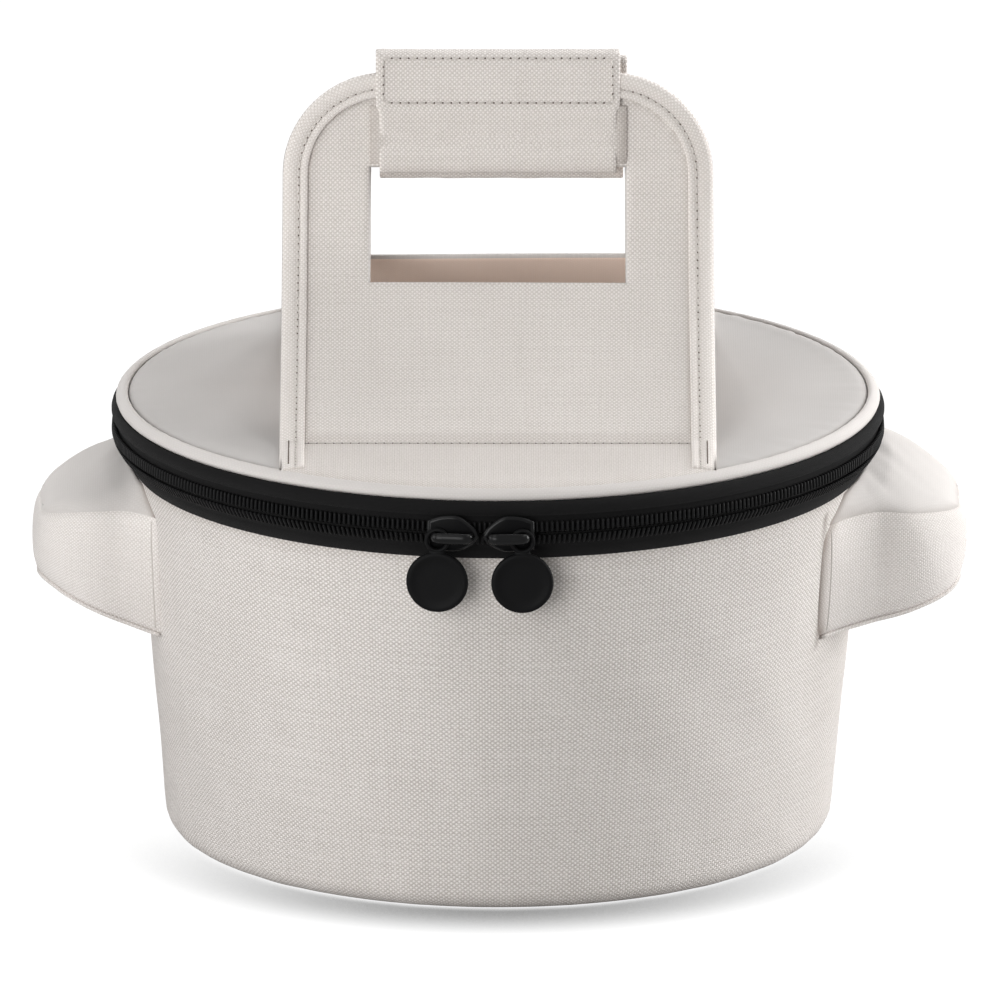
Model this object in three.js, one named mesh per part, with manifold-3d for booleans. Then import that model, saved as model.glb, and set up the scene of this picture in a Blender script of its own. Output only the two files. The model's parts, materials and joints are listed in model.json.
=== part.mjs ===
// Insulated casserole carrier: a round canvas tub with two side ears, a zipped lid and two carrying handles.
// Millimetres, +Z up, +X to the right ear, -Y to the front. The origin is on the floor, in the middle.

import * as THREE from "three";
import { mergeVertices } from "three/addons/utils/BufferGeometryUtils.js";
import Module from "manifold-3d";

const wasm = await Module();
wasm.setup();

// Clearances
const LAYER_GAP = 0.3; // between two sewn layers
const SLIDE_GAP = 1.0; // between the zip and the plates that run along it
const HOLE_GAP = 0.4; // between a bar and the hole around it

// Cloth and padding thicknesses
const CANVAS = 1.0;
const LINING = 0.8;
const TAPE = 1.0;
const BINDING = 0.8;
const WALL_FOAM = 5.0;
const BASE_FOAM = 5.0;
const LID_FOAM = 8.0;
const BASE_BOARD = 1.6;

// Tub
const FOOT_RADIUS = 142.5;
const WALL_HEIGHT = 160.0;
const BOTTOM_CURVE = 9.0;
const RIM_BINDING_WIDTH = 11.0;

// Ears
const EAR_REACH = 43.7; // from the tub's rim
const EAR_HALF_WIDTH = 46.0;
const EAR_CORNER = 34.0;
const EAR_SHELL = 2.2;
const EAR_SEAM = 3.6; // wall left standing around the opening into the ear
const EAR_TOP_AT_WALL = 153.5;
const EAR_TOP_AT_END = 146.5;
const EAR_BASE_AT_WALL = 93.5;
const EAR_BASE_AT_END = 116.0;

// Zip, which sets the radii of the tub's rim and of the lid
const TEETH_RADIUS = 165.5;
const RIM_INSET = 9.2; // from the face of the teeth in to the tub's rim
const LID_EDGE_INSET = 2.6; // from the face of the teeth in to the zip's upper edge
const TEETH_DEPTH = 2.4;
const TEETH_HEIGHT = 4.6; // of one row
const TEETH_SPLIT = 1.4; // between the two rows, where the slider's post runs
const TEETH_RISE = 13.2; // from the wall's top edge to the middle of the zip
const LID_EDGE_RISE = 14.1; // from the middle of the zip to its upper edge
const HINGE_HALF_ANGLE = 18.0; // degrees of rim on each side of the back
const STOP_ANGLE = 1.6; // degrees of rim taken by a zip stop

// Lid
const LID_BAND_RISE = 4.7;
const LID_SEAM_INSET = 7.0; // from the lid's edge in to the seam of its top

// Handles
const HANDLE_WIDTH = 181.4;
const HANDLE_THICK = 2.4;
const HANDLE_CORNER = 44.0;
const HANDLE_RISE = 139.1; // from the stitch line to the front handle's top edge
const REAR_DROP = 5.0; // from the front handle's top edge down to the rear one's
const STITCH_OFFSET = 97.0; // stitch line, from the middle of the lid
const PANEL_SETBACK = 2.5; // from the stitch line to the rising panel
const FOOT_SETBACK = 5.2; // from the stitch line to the sewn foot
const NECK_RISE = 90.0; // height at which the panel stands upright
const NECK_PULL = 45.0; // how steeply it leaves the lid
const WINDOW_WIDTH = 110.0;
const WINDOW_HEIGHT = 47.2; // in the front handle
const BAR_HEIGHT = 41.4; // above the window
const BINDING_WIDTH = 9.0;

// Grip
const GRIP_WIDTH = 103.4;
const GRIP_ABOVE_BAR = 10.4;
const GRIP_CLOTH = 1.0;
const GRIP_CORNER = 3.6;
const SLEEVE = 1.0;
const SLEEVE_RISE = 27.5;
const FASTENER = 0.8; // hook tape and loop tape
const FASTENER_WIDTH = 92.0;
const FASTENER_HEIGHT = 20.0;

// Sliders and pulls
const SLIDER_LENGTH = 22.0;
const SLIDER_MARGIN = 1.7; // plate beyond the teeth
const SLIDER_PLATE = 1.7;
const SLIDER_POST = 4.0;
const SLIDER_APART = 0.5;
const MEETING_POINT = -7.3; // along the rim, from the middle of the front
const BRIDGE_SPAN = 15.4;
const BRIDGE_RISE = 5.4;
const BRIDGE_BAR = 1.6; // radius
const PULL_RADIUS = 13.25;
const PULL_THICK = 3.0;
const PULL_DISH = 0.6;
const PULL_RIM = 2.4;
const EYE_RADIUS = 6.0;
const EYE_HOLE = 3.8; // radius
const EYE_THICK = 2.2;
const EYE_OVERLAP = 1.6;

// Facets
const AROUND = 48;
const PULL_AROUND = 24;
const CORNER_STEPS = 6;
const RIBBON_STEPS = 9;
const BOTTOM_STEPS = 4;
const BRIDGE_STEPS = 20;
const BRIDGE_CORNERS = 4;

// Heights and radii that follow from the sizes above
const rimRadius = TEETH_RADIUS - RIM_INSET;
const lidEdgeRadius = TEETH_RADIUS - LID_EDGE_INSET;
const lidSeamRadius = lidEdgeRadius - LID_SEAM_INSET;
const earEnd = rimRadius + EAR_REACH;
const wallThickness = CANVAS + LAYER_GAP + WALL_FOAM + LAYER_GAP + LINING;
const boardLow = CANVAS + LAYER_GAP;
const baseFoamLow = boardLow + BASE_BOARD + LAYER_GAP;
const baseLiningLow = baseFoamLow + BASE_FOAM + LAYER_GAP;
const wallLayersLow = baseLiningLow + LINING + LAYER_GAP;
const zipMiddle = WALL_HEIGHT + TEETH_RISE;
const lidEdge = zipMiddle + LID_EDGE_RISE;
const lidTop = lidEdge + LID_BAND_RISE;
const tapeRadius = TEETH_RADIUS - TEETH_DEPTH - LAYER_GAP;
const teethReach = TEETH_SPLIT / 2 + TEETH_HEIGHT;
const sliderHalfHeight = teethReach + SLIDER_MARGIN;
const tapeUpright = sliderHalfHeight + LAYER_GAP; // stretch of a tape that stands behind the slider's plates
const stitchHeight = lidTop + LAYER_GAP + HANDLE_THICK / 2;
const handleTop = stitchHeight + HANDLE_RISE;
const windowLow = handleTop - BAR_HEIGHT - WINDOW_HEIGHT;
const sleeveReach = HANDLE_THICK / 2 + LAYER_GAP + SLEEVE; // from the middle of the bar's cloth
const gripReach = sleeveReach + LAYER_GAP + GRIP_CLOTH;
const barOffset = gripReach + LAYER_GAP + FASTENER + LAYER_GAP; // from the middle of the carrier

// Colours
const CREAM = 0xd8cfc6;
const LINING_GREY = 0xb9b2aa;
const FOAM_WHITE = 0xe6e4df;
const BLACK = 0x1a1a1b;

const carrier = new THREE.Group();

function degrees(angle) {
  return THREE.MathUtils.degToRad(angle);
}

// Adds a named piece to a group, with its colour and finish
function addPiece(group, name, geometry, color, roughness = 0.95, metalness = 0) {
  const material = new THREE.MeshStandardMaterial({ color, roughness, metalness });
  const mesh = new THREE.Mesh(geometry, material);
  mesh.name = name;
  group.add(mesh);
}

// Turns a closed geometry into a solid that can be cut and joined
function solidOf(geometry) {
  const bare = geometry.clone();
  bare.deleteAttribute("normal");
  bare.deleteAttribute("uv");
  const merged = mergeVertices(bare, 1e-3);
  const vertProperties = new Float32Array(merged.attributes.position.array);
  const triVerts = new Uint32Array(merged.index.array);
  return new wasm.Manifold(new wasm.Mesh({ numProp: 3, vertProperties, triVerts }));
}

function geometryOf(solid) {
  const { vertProperties, triVerts } = solid.getMesh();
  const geometry = new THREE.BufferGeometry();
  geometry.setAttribute("position", new THREE.BufferAttribute(new Float32Array(vertProperties), 3));
  geometry.setIndex(new THREE.BufferAttribute(new Uint32Array(triVerts), 1));
  return geometry.toNonIndexed();
}

// Revolves a closed [radius, height] profile, listed anticlockwise, about the vertical axis
function ring(profile) {
  const points = [...profile, profile[0]].map(([r, z]) => new THREE.Vector2(r, z));
  return new THREE.LatheGeometry(points, AROUND).rotateX(Math.PI / 2);
}

function disc(radius, low, thickness) {
  const geometry = new THREE.CylinderGeometry(radius, radius, thickness, AROUND);
  return geometry.rotateX(Math.PI / 2).rotateZ(-Math.PI / 2).translate(0, 0, low + thickness / 2);
}

// Extrudes a plan outline (x, y) upwards
function extrudeUp(shape, low, high) {
  const options = { depth: high - low, bevelEnabled: false, curveSegments: CORNER_STEPS };
  return new THREE.ExtrudeGeometry(shape, options).translate(0, 0, low);
}

// Extrudes a front outline (x, z) through the depth, between two y values
function extrudeBack(shape, front, back) {
  const options = { depth: back - front, bevelEnabled: false, curveSegments: CORNER_STEPS };
  const upright = new THREE.ExtrudeGeometry(shape, options).rotateX(Math.PI / 2);
  return upright.translate(0, back, 0);
}

// Extrudes a side outline (y, z) across the width, centred on x = 0
function extrudeAcross(shape, width) {
  const options = { depth: width, bevelEnabled: false, curveSegments: CORNER_STEPS };
  const turn = new THREE.Matrix4().makeBasis(
    new THREE.Vector3(0, 1, 0),
    new THREE.Vector3(0, 0, 1),
    new THREE.Vector3(1, 0, 0),
  );
  return new THREE.ExtrudeGeometry(shape, options).applyMatrix4(turn).translate(-width / 2, 0, 0);
}

function polygon(points) {
  return new THREE.Shape(points.map(([u, v]) => new THREE.Vector2(u, v)));
}

// A rectangle with round corners
function roundedBox(left, right, low, high, corner) {
  const shape = new THREE.Shape();
  shape.moveTo(left + corner, low);
  shape.lineTo(right - corner, low);
  shape.absarc(right - corner, low + corner, corner, -Math.PI / 2, 0);
  shape.lineTo(right, high - corner);
  shape.absarc(right - corner, high - corner, corner, 0, Math.PI / 2);
  shape.lineTo(left + corner, high);
  shape.absarc(left + corner, high - corner, corner, Math.PI / 2, Math.PI);
  shape.lineTo(left, low + corner);
  shape.absarc(left + corner, low + corner, corner, Math.PI, Math.PI * 1.5);
  return shape;
}

// A wedge of space around the vertical axis: 0 degrees is the front, 90 the right ear
function wedge(middle, halfAngle) {
  const reach = 2 * earEnd;
  const start = degrees(middle - halfAngle - 90);
  const end = degrees(middle + halfAngle - 90);
  const shape = new THREE.Shape();
  shape.moveTo(0, 0);
  shape.lineTo(reach * Math.cos(start), reach * Math.sin(start));
  shape.absarc(0, 0, reach, start, end);
  return solidOf(extrudeUp(shape, -BOTTOM_CURVE, 2 * handleTop));
}

// Tub wall: a straight cone above the rounded bottom edge
function wallRadius(z) {
  const share = (z - BOTTOM_CURVE) / (WALL_HEIGHT - BOTTOM_CURVE);
  return FOOT_RADIUS + (rimRadius - FOOT_RADIUS) * share;
}

// Points of the rounded bottom edge, from the floor up to the wall
function bottomArc(radius) {
  const points = [];
  for (let i = 0; i <= BOTTOM_STEPS; i++) {
    const turn = (i / BOTTOM_STEPS) * (Math.PI / 2);
    const r = FOOT_RADIUS - BOTTOM_CURVE + radius * Math.sin(turn);
    points.push([r, BOTTOM_CURVE - radius * Math.cos(turn)]);
  }
  return points;
}

// Radius inside the canvas at a height within the rounded bottom edge, or above it in the wall
function bottomInnerRadius(z) {
  const arc = bottomArc(BOTTOM_CURVE - CANVAS);
  const next = arc.findIndex(([, height]) => height >= z);
  if (next < 1) {
    return wallRadius(z) - CANVAS;
  }
  const [[r0, z0], [r1, z1]] = [arc[next - 1], arc[next]];
  return r0 + ((r1 - r0) * (z - z0)) / (z1 - z0);
}

// A layer of the wall, between two depths below the canvas face
function wallLayer(outer, inner, low, high) {
  return ring([
    [wallRadius(low) - inner, low],
    [wallRadius(low) - outer, low],
    [wallRadius(high) - outer, high],
    [wallRadius(high) - inner, high],
  ]);
}

// The space that the tub fills, a little grown, to cut the ears by
function tubSpace() {
  const high = 2 * WALL_HEIGHT;
  const profile = [
    [0, 0],
    [wallRadius(0) + LAYER_GAP, 0],
    [wallRadius(high) + LAYER_GAP, high],
    [0, high],
  ];
  const points = profile.map(([r, z]) => new THREE.Vector2(r, z));
  return solidOf(new THREE.LatheGeometry(points, AROUND).rotateX(Math.PI / 2));
}

// The opening through the wall into an ear; side is 1 for the right ear, -1 for the left
function earOpening(side) {
  const half = EAR_HALF_WIDTH - EAR_SHELL - EAR_SEAM;
  const low = EAR_BASE_AT_WALL + EAR_SHELL + EAR_SEAM;
  const high = EAR_TOP_AT_WALL - EAR_SHELL - EAR_SEAM;
  const box = new THREE.BoxGeometry(earEnd, 2 * half, high - low);
  return solidOf(box.translate((side * earEnd) / 2 + side * EAR_HALF_WIDTH, 0, (low + high) / 2));
}

function buildTub() {
  const openings = earOpening(1).add(earOpening(-1));

  const outside = [...bottomArc(BOTTOM_CURVE), [rimRadius, WALL_HEIGHT]];
  const inside = [...bottomArc(BOTTOM_CURVE - CANVAS), [rimRadius - CANVAS, WALL_HEIGHT]];
  const wall = solidOf(ring([...outside, ...inside.reverse()])).subtract(openings);
  addPiece(carrier, "body_wall", geometryOf(wall), CREAM);

  const boardRadius = bottomInnerRadius(boardLow) - LAYER_GAP;
  const foamRadius = bottomInnerRadius(baseFoamLow) - LAYER_GAP;
  const liningRadius = bottomInnerRadius(baseLiningLow) - LAYER_GAP;
  addPiece(carrier, "base_panel", disc(FOOT_RADIUS - BOTTOM_CURVE - LAYER_GAP, 0, CANVAS), CREAM);
  addPiece(carrier, "base_board", disc(boardRadius, boardLow, BASE_BOARD), BLACK, 0.6);
  addPiece(carrier, "base_foam", disc(foamRadius, baseFoamLow, BASE_FOAM), FOAM_WHITE);
  addPiece(carrier, "base_lining", disc(liningRadius, baseLiningLow, LINING), LINING_GREY);

  const foamOuter = CANVAS + LAYER_GAP;
  const foamRing = solidOf(wallLayer(foamOuter, foamOuter + WALL_FOAM, wallLayersLow, WALL_HEIGHT));
  const openRing = foamRing.subtract(openings);
  const sideHalf = THREE.MathUtils.radToDeg(Math.asin(EAR_HALF_WIDTH / FOOT_RADIUS));
  const gapHalf = THREE.MathUtils.radToDeg(LAYER_GAP / FOOT_RADIUS) / 2;
  const quarter = 90;
  const halfAngles = { front: quarter - sideHalf, right: sideHalf, rear: quarter - sideHalf, left: sideHalf };
  Object.entries(halfAngles).forEach(([name, half], i) => {
    const panel = openRing.intersect(wedge(i * quarter, half - gapHalf));
    addPiece(carrier, `wall_foam_${name}`, geometryOf(panel), FOAM_WHITE);
  });

  const lining = solidOf(wallLayer(wallThickness - LINING, wallThickness, wallLayersLow, WALL_HEIGHT));
  addPiece(carrier, "wall_lining", geometryOf(lining.subtract(openings)), LINING_GREY);

  const bindingOuter = wallThickness + LAYER_GAP;
  const bindingLow = Math.max(WALL_HEIGHT - RIM_BINDING_WIDTH, EAR_TOP_AT_WALL - EAR_SHELL - EAR_SEAM);
  const binding = wallLayer(bindingOuter, bindingOuter + BINDING, bindingLow, WALL_HEIGHT);
  addPiece(carrier, "rim_binding", binding, CREAM);
}

// Plan outline of the right ear, drawn in by an inset
function earPlan(inset) {
  const half = EAR_HALF_WIDTH - inset;
  const reach = earEnd - inset;
  const corner = EAR_CORNER - inset;
  const shape = new THREE.Shape();
  shape.moveTo(FOOT_RADIUS / 2, -half);
  shape.lineTo(reach - corner, -half);
  shape.absarc(reach - corner, corner - half, corner, -Math.PI / 2, 0);
  shape.lineTo(reach, half - corner);
  shape.absarc(reach - corner, half - corner, corner, 0, Math.PI / 2);
  shape.lineTo(FOOT_RADIUS / 2, half);
  return shape;
}

// Heights of the ear's top and base at a distance from the centre of the tub
function earHeight(x, atWall, atEnd) {
  const share = (x - FOOT_RADIUS) / (earEnd - FOOT_RADIUS);
  return atWall + (atEnd - atWall) * share;
}

// A slice of space between two heights above the ear's base or below its top
function earSlice(baseUp, baseIsTop, topDown, topIsBase) {
  const near = FOOT_RADIUS / 2;
  const far = earEnd + EAR_CORNER;
  const base = (x) => earHeight(x, EAR_BASE_AT_WALL, EAR_BASE_AT_END);
  const top = (x) => earHeight(x, EAR_TOP_AT_WALL, EAR_TOP_AT_END);
  const low = (x) => (baseIsTop ? top(x) : base(x)) + baseUp;
  const high = (x) => (topIsBase ? base(x) : top(x)) + topDown;
  const outline = polygon([[near, low(near)], [far, low(far)], [far, high(far)], [near, high(near)]]);
  return solidOf(extrudeBack(outline, -2 * EAR_HALF_WIDTH, 2 * EAR_HALF_WIDTH));
}

function buildEar(name, turn) {
  const ear = new THREE.Group();
  ear.rotation.z = turn;
  carrier.add(ear);
  const low = -WALL_HEIGHT;
  const high = 2 * WALL_HEIGHT;
  const plan = solidOf(extrudeUp(earPlan(0), low, high)).subtract(tubSpace());
  const hollow = solidOf(extrudeUp(earPlan(EAR_SHELL), low, high));
  const top = plan.intersect(earSlice(-EAR_SHELL, true, 0, false));
  const base = plan.intersect(earSlice(0, false, EAR_SHELL, true));
  const inset = EAR_SHELL + LAYER_GAP;
  const band = plan.subtract(hollow).intersect(earSlice(inset, false, -inset, false));
  addPiece(ear, `${name}_ear_top`, geometryOf(top), CREAM);
  addPiece(ear, `${name}_ear_base`, geometryOf(base), CREAM);
  addPiece(ear, `${name}_ear_band`, geometryOf(band), CREAM);
}

// One zip tape: sewn to an edge, it leans out to the teeth and runs upright behind them
function tapeProfile(edgeRadius, edgeHeight, direction) {
  const bend = zipMiddle + direction * tapeUpright;
  const end = zipMiddle + (direction * TEETH_SPLIT) / 2;
  const outside = [[edgeRadius, edgeHeight], [tapeRadius, bend], [tapeRadius, end]];
  const inside = outside.map(([r, z]) => [r - TAPE, z]).reverse();
  const profile = [...outside, ...inside];
  return direction > 0 ? profile.reverse() : profile;
}

function buildZip() {
  const tapeCut = wedge(180, HINGE_HALF_ANGLE);
  const teethCut = wedge(180, HINGE_HALF_ANGLE + 2 * STOP_ANGLE);

  const lowerTape = solidOf(ring(tapeProfile(rimRadius, WALL_HEIGHT + LAYER_GAP, -1)));
  addPiece(carrier, "lower_zip_tape", geometryOf(lowerTape.subtract(tapeCut)), BLACK);
  const upperTape = solidOf(ring(tapeProfile(lidEdgeRadius, lidEdge, 1)));
  addPiece(carrier, "upper_zip_tape", geometryOf(upperTape.subtract(tapeCut)), BLACK);

  const row = (low, high) => [
    [TEETH_RADIUS - TEETH_DEPTH, low],
    [TEETH_RADIUS, low],
    [TEETH_RADIUS, high],
    [TEETH_RADIUS - TEETH_DEPTH, high],
  ];
  const lowerRow = solidOf(ring(row(zipMiddle - teethReach, zipMiddle - TEETH_SPLIT / 2)));
  const upperRow = solidOf(ring(row(zipMiddle + TEETH_SPLIT / 2, zipMiddle + teethReach)));
  addPiece(carrier, "lower_zip_teeth", geometryOf(lowerRow.subtract(teethCut)), BLACK, 0.6);
  addPiece(carrier, "upper_zip_teeth", geometryOf(upperRow.subtract(teethCut)), BLACK, 0.6);

  for (const [name, side] of [["right", 1], ["left", -1]]) {
    const middle = 180 - side * (HINGE_HALF_ANGLE + STOP_ANGLE);
    const stop = lowerRow.intersect(wedge(middle, STOP_ANGLE / 2));
    addPiece(carrier, `${name}_zip_stop`, geometryOf(stop), BLACK, 0.4);
  }

  const face = [
    [rimRadius, WALL_HEIGHT + LAYER_GAP],
    [tapeRadius, zipMiddle - tapeUpright],
    [tapeRadius, zipMiddle + tapeUpright],
    [lidEdgeRadius, lidEdge],
  ];
  const back = face.map(([r, z]) => [r - CANVAS, z]).reverse();
  const hinge = ring([...face, ...back]);
  const seam = THREE.MathUtils.radToDeg(LAYER_GAP / rimRadius);
  const panel = solidOf(hinge).intersect(wedge(180, HINGE_HALF_ANGLE - seam));
  addPiece(carrier, "hinge_panel", geometryOf(panel), CREAM);
}

function buildLid() {
  const shoulder = (lidEdgeRadius + 2 * lidSeamRadius) / 3;
  const shoulderHeight = lidTop - CANVAS;
  const band = ring([
    [lidEdgeRadius - CANVAS, lidEdge + LAYER_GAP],
    [lidEdgeRadius, lidEdge + LAYER_GAP],
    [lidEdgeRadius, lidTop - LID_BAND_RISE / 2],
    [shoulder, lidTop],
    [lidSeamRadius, lidTop],
    [lidSeamRadius, shoulderHeight],
    [lidEdgeRadius - CANVAS, lidTop - LID_BAND_RISE / 2 - CANVAS],
  ]);
  addPiece(carrier, "lid_band", band, CREAM);

  const innerRadius = lidSeamRadius - LAYER_GAP;
  const foamHigh = lidTop - CANVAS - LAYER_GAP;
  const foamLow = foamHigh - LID_FOAM;
  addPiece(carrier, "lid_top_panel", disc(innerRadius, lidTop - CANVAS, CANVAS), CREAM);
  addPiece(carrier, "lid_foam", disc(innerRadius, foamLow, LID_FOAM), FOAM_WHITE);
  addPiece(carrier, "lid_lining", disc(innerRadius, foamLow - LAYER_GAP - LINING, LINING), LINING_GREY);

  // The binding covers the seam of tape and band inside, above the path of the sliders
  const low = zipMiddle + tapeUpright;
  const lowRadius = tapeRadius - TAPE - LAYER_GAP;
  const highRadius = lidEdgeRadius - TAPE - LAYER_GAP;
  const binding = ring([
    [lowRadius - BINDING, low],
    [lowRadius, low],
    [highRadius, lidEdge],
    [highRadius - BINDING, lidEdge],
  ]);
  addPiece(carrier, "lid_binding", binding, CREAM);
}

// Middle line of a front handle panel from the lid to its top edge, as [y, z]
function handleLine() {
  const reach = STITCH_OFFSET - barOffset;
  const curve = new THREE.QuadraticBezierCurve(
    new THREE.Vector2(0, 0),
    new THREE.Vector2(reach, NECK_PULL),
    new THREE.Vector2(reach, NECK_RISE),
  );
  const from = PANEL_SETBACK / curve.getLength();
  const points = [];
  for (let i = 0; i <= RIBBON_STEPS; i++) {
    points.push(curve.getPointAt(from + (1 - from) * (i / RIBBON_STEPS)));
  }
  points.push(new THREE.Vector2(reach, HANDLE_RISE + BAR_HEIGHT));
  return points.map((p) => new THREE.Vector2(p.x - STITCH_OFFSET, p.y + stitchHeight));
}

// Side outline of a cloth ribbon along the middle line; early lengthens its lower end
function ribbon(half, early) {
  const line = handleLine();
  const start = new THREE.Vector2().subVectors(line[0], line[1]).setLength(early).add(line[0]);
  line[0] = start;
  const left = [];
  const right = [];
  line.forEach((point, i) => {
    const before = line[Math.max(i - 1, 0)];
    const after = line[Math.min(i + 1, line.length - 1)];
    const along = new THREE.Vector2().subVectors(after, before).normalize();
    left.push([point.x - along.y * half, point.y + along.x * half]);
    right.push([point.x + along.y * half, point.y - along.x * half]);
  });
  return solidOf(extrudeAcross(polygon([...right, ...left.reverse()]), 2 * HANDLE_WIDTH));
}

// Front outline of a handle up to an edge, grown or drawn in, as a block through the depth
function handleOutline(edge, grow) {
  const half = HANDLE_WIDTH / 2 + grow;
  const top = edge + grow;
  const corner = HANDLE_CORNER + grow;
  const shape = new THREE.Shape();
  shape.moveTo(-half, 0);
  shape.lineTo(half, 0);
  shape.lineTo(half, top - corner);
  shape.absarc(half - corner, top - corner, corner, 0, Math.PI / 2);
  shape.lineTo(corner - half, top);
  shape.absarc(corner - half, top - corner, corner, Math.PI / 2, Math.PI);
  return solidOf(extrudeBack(shape, -2 * STITCH_OFFSET, STITCH_OFFSET));
}

function handlePanel(top) {
  const half = WINDOW_WIDTH / 2;
  const high = top - BAR_HEIGHT;
  const hole = polygon([[-half, windowLow], [half, windowLow], [half, high], [-half, high]]);
  const window = solidOf(extrudeBack(hole, -2 * STITCH_OFFSET, STITCH_OFFSET));
  return ribbon(HANDLE_THICK / 2, 0).intersect(handleOutline(top, 0)).subtract(window);
}

function handleBinding(top) {
  const inner = HANDLE_THICK / 2 + LAYER_GAP;
  const frame = handleOutline(top, LAYER_GAP + BINDING).subtract(handleOutline(top, -BINDING_WIDTH));
  const cloth = ribbon(inner + BINDING, 0).intersect(frame);
  return cloth.subtract(ribbon(inner, PANEL_SETBACK).intersect(handleOutline(top, LAYER_GAP)));
}

// The part of the handle sewn flat on the lid, out to the lid's seam
function handleFoot() {
  const half = HANDLE_WIDTH / 2;
  const plan = polygon([
    [-half, -STITCH_OFFSET - FOOT_SETBACK],
    [-half, -lidSeamRadius],
    [half, -lidSeamRadius],
    [half, -STITCH_OFFSET - FOOT_SETBACK],
  ]);
  const low = lidTop + LAYER_GAP;
  const lidSpace = solidOf(disc(lidSeamRadius - LAYER_GAP, 0, 2 * lidTop));
  return solidOf(extrudeUp(plan, low, low + HANDLE_THICK)).intersect(lidSpace);
}

// A folded cloth around the lower edge of the bar, wide enough to show at both ends of the grip
function barSleeve(top) {
  const inner = sleeveReach - SLEEVE;
  const outer = sleeveReach;
  const low = top - BAR_HEIGHT - LAYER_GAP;
  const bottom = low - SLEEVE;
  const high = top - BAR_HEIGHT + SLEEVE_RISE;
  const corner = GRIP_CORNER - GRIP_CLOTH - LAYER_GAP;
  const outline = new THREE.Shape();
  outline.moveTo(-barOffset - outer, high);
  outline.lineTo(-barOffset - outer, bottom + corner);
  outline.absarc(-barOffset - outer + corner, bottom + corner, corner, Math.PI, Math.PI * 1.5);
  outline.lineTo(-barOffset + outer - corner, bottom);
  outline.absarc(-barOffset + outer - corner, bottom + corner, corner, -Math.PI / 2, 0);
  outline.lineTo(-barOffset + outer, high);
  outline.lineTo(-barOffset + inner, high);
  outline.lineTo(-barOffset + inner, low);
  outline.lineTo(-barOffset - inner, low);
  outline.lineTo(-barOffset - inner, high);
  return extrudeAcross(outline, WINDOW_WIDTH - 2 * HOLE_GAP);
}

// The stitched grip: a flat tube of canvas around the sleeve and the bar
function gripWrap(top) {
  const inner = gripReach - GRIP_CLOTH;
  const outer = gripReach;
  const low = top - BAR_HEIGHT - LAYER_GAP - SLEEVE - LAYER_GAP;
  const high = top + GRIP_ABOVE_BAR;
  const outline = roundedBox(-barOffset - outer, -barOffset + outer, low - GRIP_CLOTH, high, GRIP_CORNER);
  const inside = GRIP_CORNER - GRIP_CLOTH;
  outline.holes.push(roundedBox(-barOffset - inner, -barOffset + inner, low, high - GRIP_CLOTH, inside));
  return extrudeAcross(outline, GRIP_WIDTH);
}

function fastenerTape(top) {
  const high = top + GRIP_ABOVE_BAR - GRIP_CORNER;
  const outline = polygon([
    [-LAYER_GAP - FASTENER, high - FASTENER_HEIGHT],
    [-LAYER_GAP, high - FASTENER_HEIGHT],
    [-LAYER_GAP, high],
    [-LAYER_GAP - FASTENER, high],
  ]);
  return extrudeAcross(outline, FASTENER_WIDTH);
}

function buildHandle(name, fastener, turn, top) {
  const handle = new THREE.Group();
  handle.rotation.z = turn;
  carrier.add(handle);
  addPiece(handle, `${name}_handle_foot`, geometryOf(handleFoot()), CREAM);
  addPiece(handle, `${name}_handle_panel`, geometryOf(handlePanel(top)), CREAM);
  addPiece(handle, `${name}_handle_binding`, geometryOf(handleBinding(top)), CREAM);
  addPiece(handle, `${name}_bar_sleeve`, barSleeve(top), CREAM);
  addPiece(handle, `${name}_grip_wrap`, gripWrap(top), CREAM);
  addPiece(handle, `${name}_${fastener}_tape`, fastenerTape(top), LINING_GREY);
}

// Distances from the tub's axis to the faces of a slider
const innerPlateFace = tapeRadius - TAPE - SLIDE_GAP;
const outerPlateFace = TEETH_RADIUS + SLIDE_GAP / 2;
const bridgeSeat = outerPlateFace + SLIDER_PLATE;

// Plate outline (x along the rim, z up) with a round nose towards x
function sliderOutline(nose) {
  const half = SLIDER_LENGTH / 2;
  const high = sliderHalfHeight;
  const shape = new THREE.Shape();
  shape.moveTo(-nose * half, -high);
  shape.lineTo(nose * (half - high), -high);
  shape.quadraticCurveTo(nose * half, -high, nose * half, 0);
  shape.quadraticCurveTo(nose * half, high, nose * (half - high), high);
  shape.lineTo(-nose * half, high);
  shape.closePath();
  return shape;
}

// Two plates around the teeth, joined by the post that runs between the two rows
function sliderBody(nose) {
  const outline = sliderOutline(nose);
  const outer = solidOf(extrudeBack(outline, -bridgeSeat, -outerPlateFace));
  const inner = solidOf(extrudeBack(outline, -innerPlateFace, SLIDER_PLATE - innerPlateFace));
  const depth = outerPlateFace - innerPlateFace + SLIDER_PLATE;
  const post = new THREE.BoxGeometry(SLIDER_POST, depth, TEETH_SPLIT - 2 * LAYER_GAP);
  const along = nose * (SLIDER_LENGTH / 2 - SLIDER_POST);
  const middle = (outerPlateFace + innerPlateFace) / 2;
  return outer.add(inner).add(solidOf(post.translate(along, -middle, 0))).translate([0, 0, zipMiddle]);
}

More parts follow.
